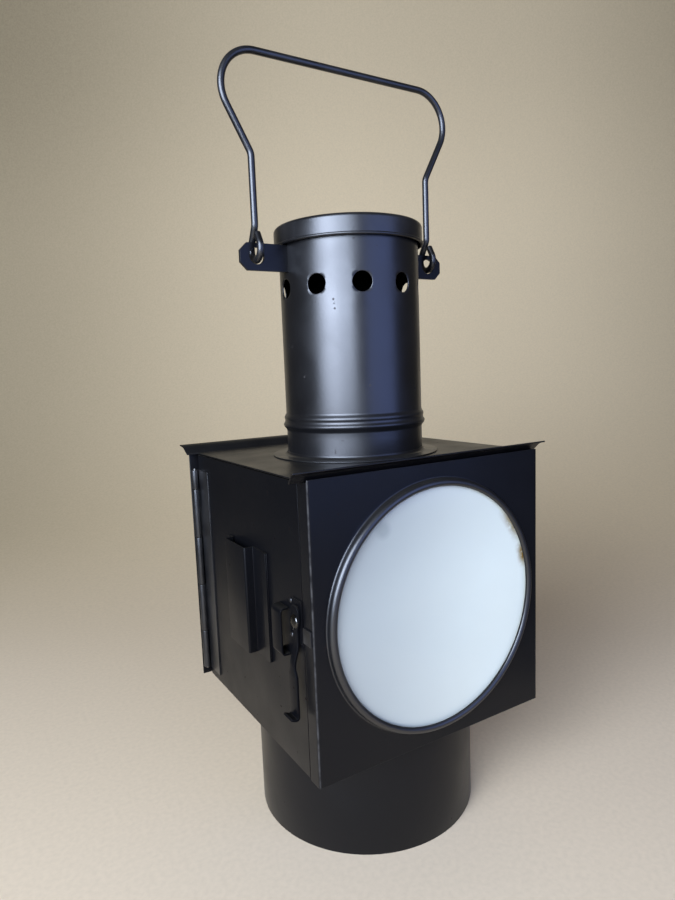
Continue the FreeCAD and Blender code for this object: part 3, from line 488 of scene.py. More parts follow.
def makeLampGlass():
    # Blown clear lamp glass, smoked a little towards its top, where it is duller.
    look = blownGlass
    plain = {"IOR": look["ior"], "Transmission Weight": 1.0}
    material, tree, shader, place = startMaterial("lampGlass", plain)
    height = addNode(tree, "SeparateXYZ", {0: place}, "Z")
    smoke = addNode(tree, "TexNoise", {"Vector": place, "Scale": perMetre / look["smokeMm"], "Detail": 4.0})
    high = addNode(tree, "MapRange", {"Value": height, "From Min": look["smokeFrom"] * mm,
                                      "From Max": look["smokeTo"] * mm})
    sooty = addNode(tree, "Math", {0: high, 1: smoke}, operation="MULTIPLY")
    colour = addNode(tree, "Mix", {0: sooty, 6: look["clear"], 7: look["smoke"]}, data_type="RGBA")
    rough = addNode(tree, "MapRange", {"Value": sooty, "To Min": look["roughLow"],
                                       "To Max": look["roughHigh"]})
    setInputs(shader, {"Base Color": colour, "Roughness": rough})
    return material


enamels = {
    # as it was brushed on
    "satin": {},
    # the chimney: a deeper gloss outside, dead black soot inside that also paints the shade there, three
    # knocks near a vent
    "sootAndShade": {"gloss": 1.72, "sootAndShadeWithin": 63.5,
               "nicks": ((-45.4, -45.1, 476.1, 1.1), (-45.1, -45.5, 472.6, 0.7), (-44.7, -45.8, 468.4, 1.0))},
    # weathered box sheets: a weaker gloss
    "dull": {"gloss": 1.35},
    # the door and its pocket: nearly matt, with no bright edges
    "door": {"gloss": 1.22, "edgeWear": 0.0, "edgeMm": 0.05},
    # the front sheet: a painted highlight down one fold and a wiped bead stand out of a quiet black
    "folded": {"gloss": 1.3, "edgeWear": 0.5, "foldHighlightAt": (-117.0, -117.0), "beadAt": (0.0, 220.97, 106.6)},
    # cap, bail and rivets: glossy and greyer where hands polish them, the grey also a painted highlight
    "handWearAndSheen": {"gloss": 1.7, "handWearAndSheen": 0.4, "edgeWear": 0.5},
    # pull and latch: flat black with faintly rubbed edges
    "gripped": {"gloss": 1.14, "edgeWear": 0.4, "edgeMm": 0.4},
    # the hinge: thin grey-black paint that glints, its grey partly a painted highlight
    "hinge": {"gloss": 1.65, "handWearAndSheen": 0.6, "edgeWear": 0.2, "edgeMm": 0.1},
    # the plate that the latch scrapes: scratched through to grey
    "scratched": {"gloss": 1.4, "handWearAndSheen": 1.0, "edgeWear": 0.8},
}
enamel = {name: makeSatinPaint(name + "BlackEnamel", **look) for name, look in enamels.items()}
metal = {name: makeMetal(name, **look) for name, look in bareMetals.items()}
opal = makeOpalGlass()
clearGlass = makeLampGlass()
bySlot = {"black_paint": enamel["satin"], "milk_glass": opal, "lamp_glass": clearGlass,
          "steel": metal["wornSteel"], "brass": metal["tarnishedBrass"],
          "seal": makeSealCord(), "wick": makeWickCotton()}
wornNodes = {"wear_plate": "scratched", "latch_plate": "gripped", "left_ear": "dull", "right_ear": "dull"}
for part in frame["record"]["subparts"]:
    nodes[part["node"]].material_slots[0].material = bySlot[part["material_slot"]]
for node, kind in wornNodes.items():
    nodes[node].material_slots[0].material = enamel[kind]
print("materials made:", len(enamel), "enamels,", len(metal), "metals, two glasses, cord and cotton")


# Front panel: flat sheet, drawn bead round the glass, folded returns

panel = {"half": 117.97, "low": 103.0, "top": 339.941, "wallTop": 337.741, "face": -118.0, "sheet": 1.2,
         "return": 14.0, "fold": 2.2, "flat": 112.97, "glassZ": 220.97, "rollAt": 102.86, "roll": 3.3,
         "stand": 3.0, "turn": 150.0, "root": 0.9, "ease": 4.0, "beadSteps": 17, "rootSteps": 6,
         "perSide": 60, "sharp": 40}


def makeFrontFace():
    # bead: (r, out) = rollAt + roll cos a, stand + roll sin a for a = 0..turn, outside and back inside;
    # then the flat sheet as rings that grow into a rectangle
    w = panel
    sheet = w["sheet"]
    beadAt = (w["rollAt"], w["stand"])
    lines = [arc(beadAt, radius, 0, w["turn"], w["beadSteps"]) for radius in (w["roll"], w["roll"] - sheet)]
    outside, inside = (np.insert(line, 1, 0, axis=1) for line in lines)
    foot = w["rollAt"] + w["roll"]
    wide = foot + w["root"]
    # a small radius where the bead stands up out of the sheet
    t = np.linspace(0, 1, w["rootSteps"])
    root = pointsOf(foot + w["root"] * (1 - t) ** 2, 0, w["stand"] * t ** 2)
    flat = [(wide, 1, 0), (wide, 0.5, 0), (wide, 0.05, 0)]
    back = [(foot - sheet, 0, -sheet), (wide, 0.5, -sheet), (wide, 1, -sheet)]
    profile = np.concatenate([flat, root, outside, inside[::-1], back])
    points, faces = holedPlate(closedLoop(profile), w["flat"], (w["top"] - w["low"]) / 2, w["perSide"])
    x, z, out = points.T
    middle = (w["low"] + w["top"]) / 2
    # the bead is centred on the glass, a little below the sheet's own middle, and the sheet's edge stays
    sink = (w["glassZ"] - middle) * np.clip((w["flat"] - np.hypot(x, z)) / w["ease"], 0, 1)
    points = pointsOf(x, w["face"] - out, middle + z + sink)
    # no faces on the two upright edges, where the folds go on
    seam = (np.abs(points[faces][:, :, 0]) > w["flat"] - meshing["hair"]).all(1)
    return points, faces[~seam]


def makeFrontFold(side):
    # a plan (x, y) of outer skin, end and inner skin, carried up from low to each point's own top
    w = panel
    skins = []
    for off, radius in ((0.0, w["fold"]), (w["sheet"], w["fold"] - w["sheet"])):
        corner = (w["half"] - off, w["face"] + off)
        line = np.array([(w["flat"], corner[1]), corner, (corner[0], w["face"] + w["return"])])
        skins.append(roundCorners(line, radius, steps=8))
    plan = np.concatenate([skins[0], skins[1][::-1]])
    top = np.where(plan[:, 1] > w["face"] + w["sheet"] + meshing["hair"], w["wallTop"], w["top"])
    z = w["low"] + (top - w["low"])[:, None] * np.linspace(0, 1, w["perSide"] + 1)
    n, cols = z.shape
    points = pointsOf(side * plan[:, :1], plan[:, 1:], z)
    i = np.arange(n // 2 - 1)
    ends = np.stack([i, i + 1, n - 2 - i, n - 1 - i], 1) * cols
    return points.reshape(-1, 3), np.concatenate([gridFaces(n, cols), ends, ends + cols - 1])


frontSheet = joinParts(makeFrontFace(), makeFrontFold(-1), makeFrontFold(1))
putMesh("frontPanelSheet", frontSheet, enamel["folded"], ["front_panel"], sharp=panel["sharp"])

glassDisc = {"radius": 104.6, "front": -119.8, "back": -116.8, "edge": 0.6, "rings": (0.3, 0.6, 0.9),
             "around": 192}


def makeGlassDisc():
    # a turned disc with rounded edges, and a few more rings across its face
    g = glassDisc
    thick = g["back"] - g["front"]
    line = [(0.0, thick), (g["radius"], thick), (g["radius"], 0.0), (0.0, 0.0)]
    ring = roundCorners(line, g["edge"], steps=4)
    ring = np.concatenate([ring[:1], [(g["radius"] * s, thick) for s in g["rings"]], ring[1:]])
    return towardFront(turnedSurface(ring, g["around"]), (0, g["back"], panel["glassZ"]))


putMesh("opalDisc", makeGlassDisc(), opal, ["milk_glass"])
print("front made")


# Box: rear sheet, far side, door and roof

box = {"rear": 118.0, "flangeX": -125.47, "rightX": 116.17, "rightEnd": 115.8, "doorX": -117.37,
       "doorFront": -103.0, "doorRear": 111.5, "doorLow": 104.0, "doorHigh": 336.741, "stations": 24,
       "edge": 0.12}


def makeRearSheet():
    # an L in plan, carried up the height
    w = panel
    mid = w["sheet"] / 2
    x, y = w["half"] - mid, box["rear"] - mid
    plan = np.array([(x, box["rear"] - w["return"]), (x, y), (box["flangeX"], y)])
    bend = roundCorners(plan, w["fold"], steps=8)
    path = pointsOf(*bend.T, (w["low"] + w["wallTop"]) / 2)
    return bandAlong(path, alongZ, (w["wallTop"] - w["low"]) / 2, mid)


def makeSideSheet(x, start, end, low, high):
    path = pointsOf(x, np.linspace(start, end, box["stations"]), (low + high) / 2)
    return bandAlong(path, alongZ, (high - low) / 2, panel["sheet"] / 2, box["edge"])


putMesh("rearSheet", makeRearSheet(), enamel["dull"], ["rear_wall"])
farSide = makeSideSheet(box["rightX"], -box["rightEnd"], box["rightEnd"], panel["low"], panel["wallTop"])
putMesh("farSideSheet", farSide, enamel["dull"], ["right_wall"])
doorSheet = makeSideSheet(box["doorX"], box["doorFront"], box["doorRear"], box["doorLow"], box["doorHigh"])
putMesh("doorSheet", doorSheet, enamel["door"], ["door_panel"], body="door")

roof = {"under": 337.741, "halfX": 117.97, "flatY": 111.2, "hole": 62.8, "creaseY": 112.2, "tipY": 124.67,
        "tipZ": 346.94, "tipX": (-132.0, 121.4), "creaseX": (-129.0, 119.0), "knee": (119.0, 345.6),
        "bend": 5.0, "step": 0.8}


def makeRoof():
    # a holed rectangle, and two bands folded up and out along its front and rear edges, their ends cut on a
    # slant
    r = roof
    t = panel["sheet"]
    ring = [(r["hole"], 0, 0), (r["hole"], 0.5, 0), (r["hole"], 1, 0),
            (r["hole"], 1, t), (r["hole"], 0.5, t), (r["hole"], 0, t)]
    points, faces = holedPlate(closedLoop(np.array(ring)), r["halfX"], r["flatY"], panel["perSide"])
    plate = points + alongZ * r["under"], faces
    mid = r["under"] + t / 2
    # the eave rises out of the crease and flattens towards its tip
    line = np.array([(r["flatY"], mid), (r["creaseY"], mid), r["knee"], (r["tipY"], r["tipZ"])])
    bend = resample(roundCorners(line, r["bend"], steps=8), r["step"])
    share = (bend[:, 0] - r["flatY"]) / (r["tipY"] - r["flatY"])
    left, right = (np.interp(share, (0, 1), ends) for ends in zip(r["creaseX"], r["tipX"]))
    eaves = []
    for side in (-1, 1):
        path = pointsOf((left + right) / 2, side * bend[:, 0], bend[:, 1])
        eaves.append(bandAlong(path, alongX, (right - left) / 2, t / 2))
    return joinParts(plate, *eaves)


putMesh("roofSheet", makeRoof(), enamel["dull"], ["roof_plate"])
print("box made")


# Socket collar, chimney and cap, all turned about the upright axis

collar = {"radius": 104.5, "height": 103.0, "lip": 94.5, "sheet": 1.2, "edge": 0.5, "around": 192}


def makeCollar():
    # an upright wall and a flat lip turned in at its top
    c = collar
    inner, under = c["radius"] - c["sheet"], c["height"] - c["sheet"]
    line = [(c["radius"], 0.0), (c["radius"], c["height"]), (c["lip"], c["height"]),
            (c["lip"], under), (inner, under), (inner, 0.0)]
    return turnedSurface(closedLoop(roundCorners(line, c["edge"], steps=3, closed=True)), c["around"])


putMesh("socketCollar", makeCollar(), enamel["dull"], ["base_collar"])

# ribs are (height, half height, how far they stand out); rings are shares of the way from a vent to its cell
chimney = {"radius": 64.0, "wall": 1.2, "foot": 340.141, "top": 543.941, "rows": 24, "ribRows": 19,
           "ribs": ((367.841, 5.6, 2.9), (374.5, 5.0, 1.9)), "ventZ": 489.941, "ventRadius": 8.5, "vents": 10,
           "ventTurn": 13.4, "cellHalf": 20.0, "perSide": 14, "outerRings": (1, 0.7, 0.4, 0.15, 0.03),
           "innerRings": (0, 0.4, 1), "punch": 0.35, "sharp": 40}


def tubeSkin(radius, low, high, columns, start):
    # radius + proud (1 + cos(pi d / half)) / 2 within half of each rib's height
    c = chimney
    ribSteps = [np.linspace(at - half, at + half, c["ribRows"]) for at, half, proud in c["ribs"]]
    z = np.unique(np.concatenate([np.linspace(low, high, c["rows"]), *ribSteps]))
    z = z[(z >= low) & (z <= high)]
    r = np.full(len(z), radius)
    for at, half, proud in c["ribs"]:
        r = r + proud * (1 + np.cos(np.pi * np.clip(np.abs(z - at) / half, 0, 1))) / 2
    return turnedSurface(pointsOf(r, z), columns, start)


def makeChimney():
    # vent band: cells of one vent each. In a cell, rings run from the hole's circle, where
    # radius sin(a) = ventRadius cos(q), out to the cell's square edge; outside, through the hole and inside
    c = chimney
    squareA, squareZ = squareLine(c["perSide"])
    q = np.arctan2(squareZ, squareA)
    halfA = np.pi / c["vents"]
    outer, inner = c["radius"], c["radius"] - c["wall"]
    rings = [(outer, share, outer) for share in c["outerRings"]]
    # the hole's outer edge is drawn in a little, as by a punch
    rings.append((outer, 0, outer - c["punch"]))
    rings += [(inner, share, inner) for share in c["innerRings"]]
    skin, share, r = (column[:, None] for column in np.array(rings, float).T)
    holeA = np.arcsin(c["ventRadius"] * np.cos(q) / skin)
    holeZ = c["ventRadius"] * np.sin(q)
    rise = holeZ + share * (squareZ * c["cellHalf"] - holeZ)
    turn = np.radians(c["ventTurn"]) + np.arange(c["vents"]) * 2 * halfA
    angle = holeA + share * (squareA * halfA - holeA) + turn[:, None, None]
    points = pointsOf(r * np.sin(angle), -r * np.cos(angle), c["ventZ"] + rise)
    firsts = np.arange(c["vents"]) * len(rings) * len(q)
    faces = gridFaces(len(rings), len(q), True) + firsts[:, None, None]
    band = points.reshape(-1, 3), faces.reshape(-1, 4)
    # plain tube below and above the vents, and a rim at each end
    columns = c["perSide"] * c["vents"]
    start = np.radians(c["ventTurn"]) - halfA
    spans = (c["foot"], c["ventZ"] - c["cellHalf"]), (c["ventZ"] + c["cellHalf"], c["top"])
    skins = [tubeSkin(radius, *span, columns, start) for radius in (outer, inner) for span in spans]
    rims = [turnedSurface([(inner, z), (outer, z)], columns, start) for z in (c["foot"], c["top"])]
    return joinParts(band, *skins, *rims)


tube = makeChimney()
putMesh("chimneyTube", tube, enamel["sootAndShade"], ["chimney_tube", "chimney_foot"], sharp=chimney["sharp"])

flange = {"inner": 62.8, "outer": 78.0, "roof": 338.941, "thick": 1.2, "seat": 64.1, "rim": 64.9,
          "flare": 3.0, "edge": 0.4, "around": 160}


def makeFlange():
    # a flat ring, and a quarter circle that flares up to the tube's foot
    f = flange
    roofZ, outer, edge = f["roof"], f["outer"], f["edge"]
    top = roofZ + f["thick"]
    flare = arc((f["rim"] + f["flare"], top + f["flare"]), f["flare"], 270, 180, count=9)
    ring = [(f["inner"], roofZ), (outer - edge, roofZ), (outer, roofZ + edge), (outer, top - edge),
            (outer - edge, top)]
    seat = [(f["seat"], top + f["flare"]), (f["seat"], top), (f["inner"], top)]
    return turnedSurface(closedLoop(np.concatenate([ring, flare, seat])), f["around"])


putMesh("chimneyFlange", makeFlange(), enamel["satin"], ["chimney_flange"])

cap = {"radius": 68.0, "top": 545.141, "foot": 527.141, "knee": 3.4, "dome": 3.0, "sheet": 1.2, "hem": 1.2,
       "crown": 59.4, "domeSteps": 16, "around": 176}


def makeCap():
    # a shallow dome, top + dome (1 + cos(pi r / crown)) / 2 high, a rounded knee, an upright skirt and a
    # rolled hem, and the same inside
    c = cap
    sheet = c["sheet"]
    r = np.linspace(0, c["crown"], c["domeSteps"])
    dome = pointsOf(r, c["top"] + c["dome"] * (1 + np.cos(np.pi * r / c["crown"])) / 2)
    kneeAt = (c["radius"] - c["knee"], c["top"] - c["knee"])
    outside = arc(kneeAt, c["knee"], 90, 0, count=10)
    hem = arc((c["radius"], c["foot"] + c["hem"]), c["hem"], 90, -90, count=10)
    skirt = [(c["radius"] - sheet, c["foot"])]
    inside = arc(kneeAt, c["knee"] - sheet, 0, 90, count=10)
    under = dome[::-1] - np.array([0, sheet])
    return turnedSurface(np.concatenate([dome, outside, hem, skirt, inside, under]), c["around"])


putMesh("chimneyCap", makeCap(), enamel["handWearAndSheen"], ["chimney_cap"])
print("chimney made")


# Bail: one bent wire with a drop-shaped eye at each end

bail = {"wire": 3.0, "earX": 93.0, "pivotZ": 521.941, "eye": 9.5, "lean": 30.0, "mouth": 0.6, "neck": 8.0,
        "leg": 77.6, "flare": 28.5, "bend": 12.0, "corner": 31.0, "rise": 159.5, "step": 1.2, "sides": 20,
        "chamfer": 0.4}


def makeBail():
    # half a wire from its cut end: eye and neck arcs in the YZ plane, then bend and corner arcs in the XZ
    # plane; the other half is its mirror image
    b = bail
    lean, flare = math.radians(b["lean"]), math.radians(b["flare"])
    apex = b["pivotZ"] + b["eye"] / math.sin(lean)
    drop = (2 * b["wire"] + b["mouth"]) / (2 * math.sin(lean))
    cutEnd = [(-drop * math.tan(lean), apex - drop)]
    eye = arc((0, b["pivotZ"]), b["eye"], 180 - b["lean"], 360 + b["lean"], count=60)
    neck = arc((b["neck"], apex + b["neck"] * math.tan(lean / 2)), b["neck"], 180 + b["lean"], 180, count=10)
    bendZ = b["pivotZ"] + b["leg"] - b["bend"] * math.tan(flare / 2)
    bend = arc((b["earX"] + b["bend"], bendZ), b["bend"], 180, 180 - b["flare"], count=16)
    top = b["pivotZ"] + b["rise"]
    spread = (b["rise"] - b["leg"]) * math.tan(flare)
    cornerX = b["earX"] + spread - b["corner"] * math.tan(flare / 2 + math.pi / 4)
    corner = arc((cornerX, top - b["corner"]), b["corner"], -b["flare"], 90, count=40)
    lower = pointsOf(b["earX"], *np.concatenate([cutEnd, eye, neck]).T)
    front = np.concatenate([bend, corner, [(0, top)]])
    line = np.concatenate([lower, pointsOf(front[:, 0], 0, front[:, 1])])
    legStart, legEnd = runOf(line)[[len(lower) - 1, len(lower)]]
    half = resample(line, b["step"])
    # the guide turns from X at the eye to Y along the straight leg
    turn = np.clip((runOf(half) - legStart) / (legEnd - legStart), 0, 1) * np.pi / 2
    guide = pointsOf(np.cos(turn), np.sin(turn), 0)
    mirror = np.array([-1, 1, 1])
    path, guide = (np.concatenate([rows, rows[-2::-1] * mirror]) for rows in (half, guide))
    return wireAlong(path, b["wire"], guide, b["sides"], b["chamfer"])


putMesh("bailWire", makeBail(), enamel["handWearAndSheen"], ["bail"], body="bail_handle")
print("bail made")


# Pull on the door: a bent strap

pull = {"y": -72.0, "face": -117.97, "out": -125.17, "low": 196.8, "high": 234.2, "bend": 5.6,
        "halfWidth": 8.0, "halfThick": 0.8, "step": 0.8}


def makePull():
    # a strap bent out from the door and back, its width along Y
    p = pull
    line = [(p["face"], p["low"]), (p["out"], p["low"]), (p["out"], p["high"]), (p["face"], p["high"])]
    bend = resample(roundCorners(line, p["bend"], steps=12), p["step"])
    path = pointsOf(bend[:, 0], p["y"], bend[:, 1])
    return bandAlong(path, alongY, p["halfWidth"], p["halfThick"])


putMesh("doorPull", makePull(), enamel["gripped"], ["pull_handle"], body="door")
print("pull made")


# Piano hinge

hinge = {"x": -121.97, "y": 113.0, "knuckle": 3.5, "bore": 1.55, "gap": 0.2, "edge": 0.5, "around": 28,
         "edges": (321.941, 301.941, 251.941, 201.941, 151.941, 112.0), "leafX": -118.57, "leafFront": 85.0,
         "clearY": 109.2, "fixedY": 116.2, "fixedEnd": -93.97, "clearX": -116.07, "halfThick": 0.6,
         "leafEdge": 0.08, "lap": 1.0, "stations": 4}


def makeKnuckle(foot, top):
    h = hinge
    line = [(h["knuckle"], foot), (h["knuckle"], top), (h["bore"], top), (h["bore"], foot)]
    ring = closedLoop(roundCorners(line, h["edge"], steps=3, closed=True))
    points, faces = turnedSurface(ring, h["around"])
    return points + np.array([h["x"], h["y"], 0]), faces


def leafPlate(start, end, low, high):
    # a straight band from start to end in plan, as high as the span
    h = hinge
    share = np.linspace(0, 1, h["stations"])[:, None]
    plan = np.asarray(start) * (1 - share) + np.asarray(end) * share
    path = pointsOf(*plan.T, (low + high) / 2)
    return bandAlong(path, alongZ, (high - low) / 2, h["halfThick"], h["leafEdge"])


def makeLeaf(first, plate, tongue):
    # a plate the height of the hinge, with a knuckle and a tongue at every second span from the first
    h = hinge
    spans = list(zip(h["edges"], h["edges"][1:]))[first::2]
    spans = [(low + h["gap"], high - h["gap"]) for high, low in spans]
    knuckles = [makeKnuckle(*span) for span in spans]
    tongues = [leafPlate(*tongue, *span) for span in spans]
    return joinParts(*knuckles, leafPlate(*plate, h["edges"][-1], h["edges"][0]), *tongues)


def makeHinges():
    h = hinge
    fixedPlate = (h["fixedEnd"], h["fixedY"]), (h["clearX"], h["fixedY"])
    fixedTongue = (h["clearX"] + h["lap"], h["fixedY"]), (h["x"], h["fixedY"])
    doorPlate = (h["leafX"], h["leafFront"]), (h["leafX"], h["clearY"])
    doorTongue = (h["leafX"], h["clearY"] - h["lap"]), (h["leafX"], h["y"])
    return makeLeaf(0, fixedPlate, fixedTongue), makeLeaf(1, doorPlate, doorTongue)


fixedHinge, doorHinge = makeHinges()
putMesh("fixedHingeLeaf", fixedHinge, enamel["hinge"], ["fixed_hinge_leaf"])
putMesh("doorHingeLeaf", doorHinge, enamel["hinge"], ["door_hinge_leaf"], body="door")
print("hinge made")


# Pocket on the door

pocket = {"face": -117.97, "front": -18.0, "rear": 26.0, "depth": 9.5, "foot": 176.2, "height": 93.8,
          "flange": 27.0, "rearFlange": 10.0, "hem": 8.0, "sheet": 1.2, "bend": 1.4, "edge": 0.2,
          "hemEdge": 0.15, "stations": 6}


def makePocket():
    # one folded band: flange, step out, face, step in, flange; with a turned-back hem and a floor
    p = pocket
    mid = p["sheet"] / 2
    near, out = p["face"] - mid, p["face"] - p["depth"] + mid
    front, rear = p["front"] + mid, p["rear"] - mid
    start = p["front"] - p["flange"]
    line = [(near, start), (near, front), (out, front), (out, rear), (near, rear),
            (near, p["rear"] + p["rearFlange"])]
    bend = roundCorners(line, p["bend"], steps=6)
    middle = p["foot"] + p["height"] / 2
    body = bandAlong(pointsOf(*bend.T, middle), alongZ, p["height"] / 2, mid, p["edge"])
    hemPath = pointsOf(near - p["sheet"], np.linspace(start, start + p["hem"], p["stations"]), middle)
    hem = bandAlong(hemPath, alongZ, p["height"] / 2, mid, p["hemEdge"])
    floorPath = pointsOf((p["face"] + out) / 2, np.linspace(front, rear, p["stations"]), p["foot"] + mid)
    floor = bandAlong(floorPath, alongX, abs(p["face"] - out) / 2, mid)
    return joinParts(body, hem, floor)


putMesh("doorPocket", makePocket(), enamel["door"], ["side_pocket"], body="door")
print("pocket made")


# Latch: hanging lever, stud, rivets and the lever's small pin. Widths are (height, half width).

latch = {"y": -95.0, "boss": 6.5, "tail": 242.0, "thick": 2.0, "bend": 4.0, "step": 0.7, "edge": 0.3,
         "leastSquare": 0.2, "widths": ((185.5, 7.0), (193.0, 3.6), (222.5, 3.6), (229.0, 6.5)),
         "line": ((-130.9, 154.95), (-124.27, 152.44), (-124.27, 197.0), (-120.27, 209.0), (-120.27, 242.0))}


def makeLever():
    # half width along the lever: from the widths, and a half circle round its upper end
    w = latch
    x, z = resample(roundCorners(w["line"], w["bend"], steps=10), w["step"]).T
    over = np.clip(z - (w["tail"] - w["boss"]), 0, None)
    top = np.sqrt(np.clip(w["boss"] ** 2 - over ** 2, w["leastSquare"], None))
    wide = np.minimum(np.interp(z, *np.array(w["widths"]).T), top)
    return bandAlong(pointsOf(x, w["y"], z), alongY, wide, w["thick"] / 2, w["edge"])


putMesh("latchLever", makeLever(), enamel["gripped"], ["latch_lever"], body="latch")

pinGrid = {"domeSteps": 14, "around": 40}
stud = {"shank": 3.0, "head": 5.5, "rise": 2.0, "length": 6.9, "tail": 4.5, "tailThick": 1.2,
        "face": -121.27, "places": ((-95.0, 229.0),)}
rivet = {"shank": 1.3, "head": 2.0, "rise": 1.2, "length": 2.2, "tail": 2.0, "tailThick": 1.2,
         "face": -118.97, "places": ((-86.2, 215.2), (-86.2, 242.8))}
leverPin = {"shank": 0.8, "head": 1.3, "rise": 0.7, "length": 1.2, "tail": 0.8, "tailThick": 0.2,
            "face": -121.27, "places": ((-92.6, 222.8),)}


def makePins(p):
    # profile from the dome's top: head sin a, rise cos a; then down the shank to the upset tail
    a = np.linspace(0, np.pi / 2, pinGrid["domeSteps"])
    dome = pointsOf(p["head"] * np.sin(a), p["rise"] * np.cos(a))
    shank, tail, foot = p["shank"], p["tail"], -p["length"]
    end = foot - p["tailThick"]
    rest = [(p["head"], 0), (shank, 0), (shank, foot), (tail, foot), (tail, end), (0, end)]
    pin = turnedSurface(np.concatenate([dome, rest]), pinGrid["around"])
    return joinParts(*[towardDoor(pin, (p["face"], *place)) for place in p["places"]])


putMesh("latchStud", makePins(stud), metal["blackenedSteel"], ["latch_stud"], body="latch")
putMesh("latchRivets", makePins(rivet), enamel["handWearAndSheen"], ["latch_rivets"], body="door")
putMesh("leverPin", makePins(leverPin), metal["blackenedSteel"], body="latch")
print("latch made")


# Lamp glass inside

lampGlass = {"foot": 173.7, "base": 28.9, "waist": 182.7, "belly": (30.0, 212.7), "neck": (21.0, 252.7),
             "top": 291.7, "wall": 1.8, "bellyRows": 30, "around": 96}


def makeLampGlassTube():
    # outside: base, a parabola r(z) through waist, belly and neck, a straight neck; the same drawn in by the
    # wall
    g = lampGlass
    bellyR, bellyZ = g["belly"]
    neckR, neckZ = g["neck"]
    z = np.linspace(g["waist"], neckZ, g["bellyRows"])
    r = np.polyval(np.polyfit([g["waist"], bellyZ, neckZ], [g["base"], bellyR, neckR], 2), z)
    outside = np.concatenate([[(g["base"], g["foot"])], pointsOf(r, z), [(neckR, g["top"])]])
    inside = outside[::-1] - np.array([g["wall"], 0])
    return turnedSurface(closedLoop(np.concatenate([outside, inside])), g["around"])


lampTube = makeLampGlassTube()
putMesh("lampGlassTube", lampTube, clearGlass, ["lamp_glass"], body="glass_chimney")
print("lamp made")


# Stage, in metres: a pale sweep with painted shade, a table under it, soft studio light and the camera

# the paper's painted shade is a set of fades (axis, start, end, most) with its own colour; the floor and wall
# tints differ as painted light
sweep = {"floor": "#e0cbab", "wall": "#e9d2a9", "paperShadeColour": "#8f7f60", "front": -1.0, "rear": 1.6, "height": 2.6,
         "bend": 1.15, "turn": -31.0, "left": (-0.42, -0.57), "right": (0.42, 0.6), "step": 0.08,
         "columns": 5, "paperShadeFades": (("X", 0.1, -1.1, 0.55), ("X", 0.6, 1.3, 0.25), ("Z", 0.8, 1.5, 0.2)),
         "behind": (("Y", 0.2, 1.0, 1.0),), "rough": 0.9, "fleckMm": 5, "fleck": 0.1}


def stagePiece(name, points, faces, material):
    mesh = bpy.data.meshes.new(name)
    mesh.from_pydata(points.tolist(), [], faces.tolist())
    piece = placePiece(name, mesh, material)


def makePaper(turn):
    # Old studio paper: beige, with painted shade that darkens it towards its top and upper corners, its left
    # edge and its right side, and faint flecks drawn coarser than real paper fibre, so that they show. The
    # floor and the wall have their own tints, painted light for how differently light falls on them.
    s = sweep
    material, tree, shader, place = startMaterial("beigePaper", {"Roughness": s["rough"]})
    square = addNode(tree, "VectorRotate", {"Vector": place, "Angle": -turn}, rotation_type="Z_AXIS")
    behind = addFades(tree, square, s["behind"])
    # painted shade: darker towards the top, the left edge and the right side, on the wall only
    paperShade = addFades(tree, square, s["paperShadeFades"])
    share = addNode(tree, "Math", {0: paperShade, 1: behind}, operation="MULTIPLY")
    grain = addNode(tree, "TexNoise", {"Vector": place, "Scale": perMetre / s["fleckMm"], "Detail": 4.0})
    # floor and wall tints, painted light for how differently the window lights them
    plain = addNode(tree, "Mix", {0: behind, 6: s["floor"], 7: s["wall"]}, data_type="RGBA")
    fleck = addNode(tree, "MapRange", {"Value": grain, "From Min": 0.35, "From Max": 0.7,
                                       "To Max": s["fleck"]})
    shadeAndFlecks = addNode(tree, "Math", {0: share, 1: fleck}, operation="ADD")
    shadedPaper = addNode(tree, "Mix", {0: shadeAndFlecks, 6: plain, 7: s["paperShadeColour"]}, data_type="RGBA")
    bump = addNode(tree, "Bump", {"Height": grain, "Strength": 0.1, "Distance": 0.0005})
    setInputs(shader, {"Base Color": shadedPaper, "Normal": bump})
    return material


def makeSweep():
    # a sheet of paper that curves up behind: profile (y, z), carried from a left edge to a right one;
    # behind the lantern the edges spread with y
    s = sweep
    line = roundCorners([(s["front"], 0.0), (s["rear"], 0.0), (s["rear"], s["height"])], s["bend"], steps=24)
    line = resample(line, s["step"])
    y = line[:, :1]
    left, right = (start + spread * np.maximum(y, 0) for start, spread in (s["left"], s["right"]))
    x = left + (right - left) * np.linspace(0, 1, s["columns"])
    turn = math.radians(s["turn"])
    cos, sin = math.cos(turn), math.sin(turn)
    points = pointsOf(x, y, line[:, 1:]).reshape(-1, 3) @ np.array([[cos, sin, 0], [-sin, cos, 0], [0, 0, 1]])
    stagePiece("paperSweep", points, gridFaces(len(line), s["columns"]), makePaper(turn))


table = {"half": 4.0, "drop": 0.002, "pale": "#857c6b", "dark": "#746b5b", "rough": 0.8, "grainMm": 60}


def makeTable():
    # Plain matt table, a little below the paper, with a soft cloudy grain.
    t = table
    corners = np.array([(-1, -1), (1, -1), (1, 1), (-1, 1)]) * t["half"]
    material, tree, shader, place = startMaterial("plainTable", {"Roughness": t["rough"]})
    grain = addNode(tree, "TexNoise", {"Vector": place, "Scale": perMetre / t["grainMm"], "Detail": 4.0})
    wood = addNode(tree, "Mix", {0: grain, 6: t["pale"], 7: t["dark"]}, data_type="RGBA")
    setInputs(shader, {"Base Color": wood})
    stagePiece("plainTable", pointsOf(*corners.T, -t["drop"]), np.array([[0, 1, 2, 3]]), material)


makeSweep()
makeTable()

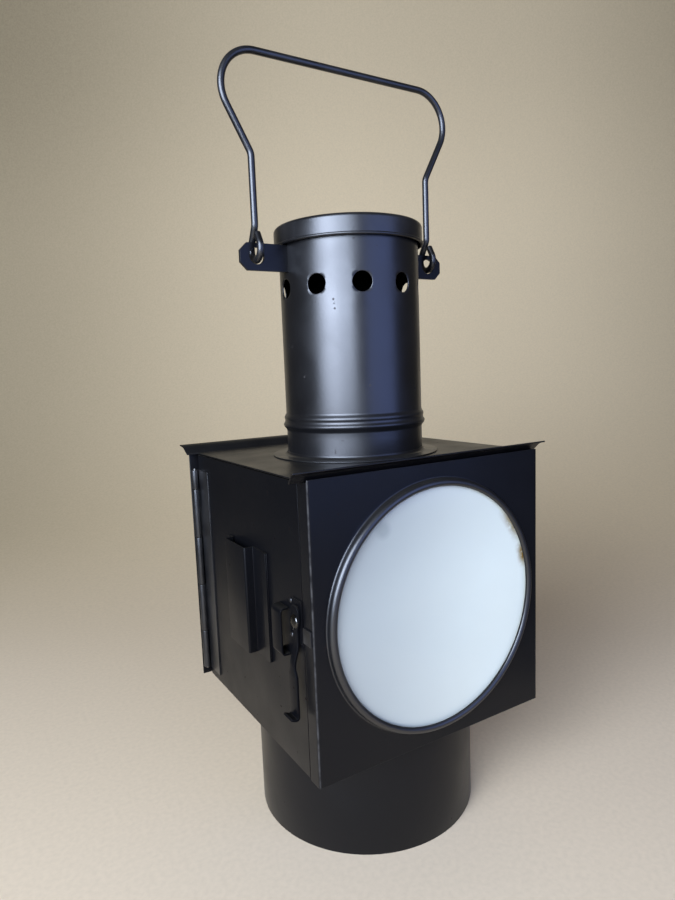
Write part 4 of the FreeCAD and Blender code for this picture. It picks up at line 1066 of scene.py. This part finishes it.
lights = {
    "tallWindow": {"azimuth": -56, "away": 1.6, "height": 0.97, "size": (1.74, 1.3), "watts": 78,
                   "colour": "#d5e4ff"},
    "brightPane": {"azimuth": -63, "away": 1.55, "height": 0.97, "size": (0.55, 1.3), "watts": 16,
                   "colour": "#dde8ff"},
    "blueFill": {"azimuth": 16, "away": 1.25, "height": 0.6, "size": (1.1, 1.1), "watts": 7.0,
                 "colour": "#99b2ff"},
}
room = {"Color": "#c9c2b4", "Strength": 0.115}


def stand(name, data, at, right, up, back):
    # columns of the matrix are the thing's right, its up and the way back from what it faces
    thing = bpy.data.objects.new(name, data)
    thing.matrix_world = Matrix.Translation(at) @ Matrix(np.stack([right, up, back], 1)).to_4x4()
    bpy.context.scene.collection.objects.link(thing)
    return thing


def makeLights():
    # each faces the upright axis, level
    for name, look in lights.items():
        data = bpy.data.lights.new(name, "AREA")
        data.shape = "RECTANGLE"
        data.size, data.size_y = look["size"]
        data.energy = look["watts"]
        data.color = hexLinear(look["colour"])[:3]
        a = math.radians(look["azimuth"])
        back = np.array([math.sin(a), -math.cos(a), 0])
        at = back * look["away"] + alongZ * look["height"]
        stand(name, data, at, np.cross(alongZ, back), alongZ, back)
    world = bpy.data.worlds.new("softRoom")
    world.use_nodes = True
    setInputs(world.node_tree.nodes["Background"], room)
    bpy.context.scene.world = world


makeLights()

camera = {"focalPx": 639.327, "tallPx": 900, "azimuth": -32.718, "away": 0.60977, "height": 0.41701,
          "pitch": 7.130, "roll": -2.2228, "pan": 1.5893, "sensorMm": 36.0, "clip": (0.01, 50)}


def makeCamera():
    c = camera
    az, yaw = math.radians(c["azimuth"]), math.radians(c["azimuth"] + c["pan"])
    pitch, roll = math.radians(c["pitch"]), math.radians(c["roll"])
    ahead = np.array([-math.sin(yaw) * math.cos(pitch), math.cos(yaw) * math.cos(pitch), -math.sin(pitch)])
    level = np.array([math.cos(yaw), math.sin(yaw), 0])
    plumb = np.cross(level, ahead)
    right = level * math.cos(roll) + plumb * math.sin(roll)
    up = plumb * math.cos(roll) - level * math.sin(roll)
    data = bpy.data.cameras.new("view")
    data.sensor_width = c["sensorMm"]
    data.lens = c["focalPx"] / c["tallPx"] * c["sensorMm"]
    data.clip_start, data.clip_end = c["clip"]
    at = (c["away"] * math.sin(az), -c["away"] * math.cos(az), c["height"])
    bpy.context.scene.camera = stand("view", data, at, right, up, -ahead)


makeCamera()
bpy.context.scene.view_settings.view_transform = "Standard"
print("stage made")
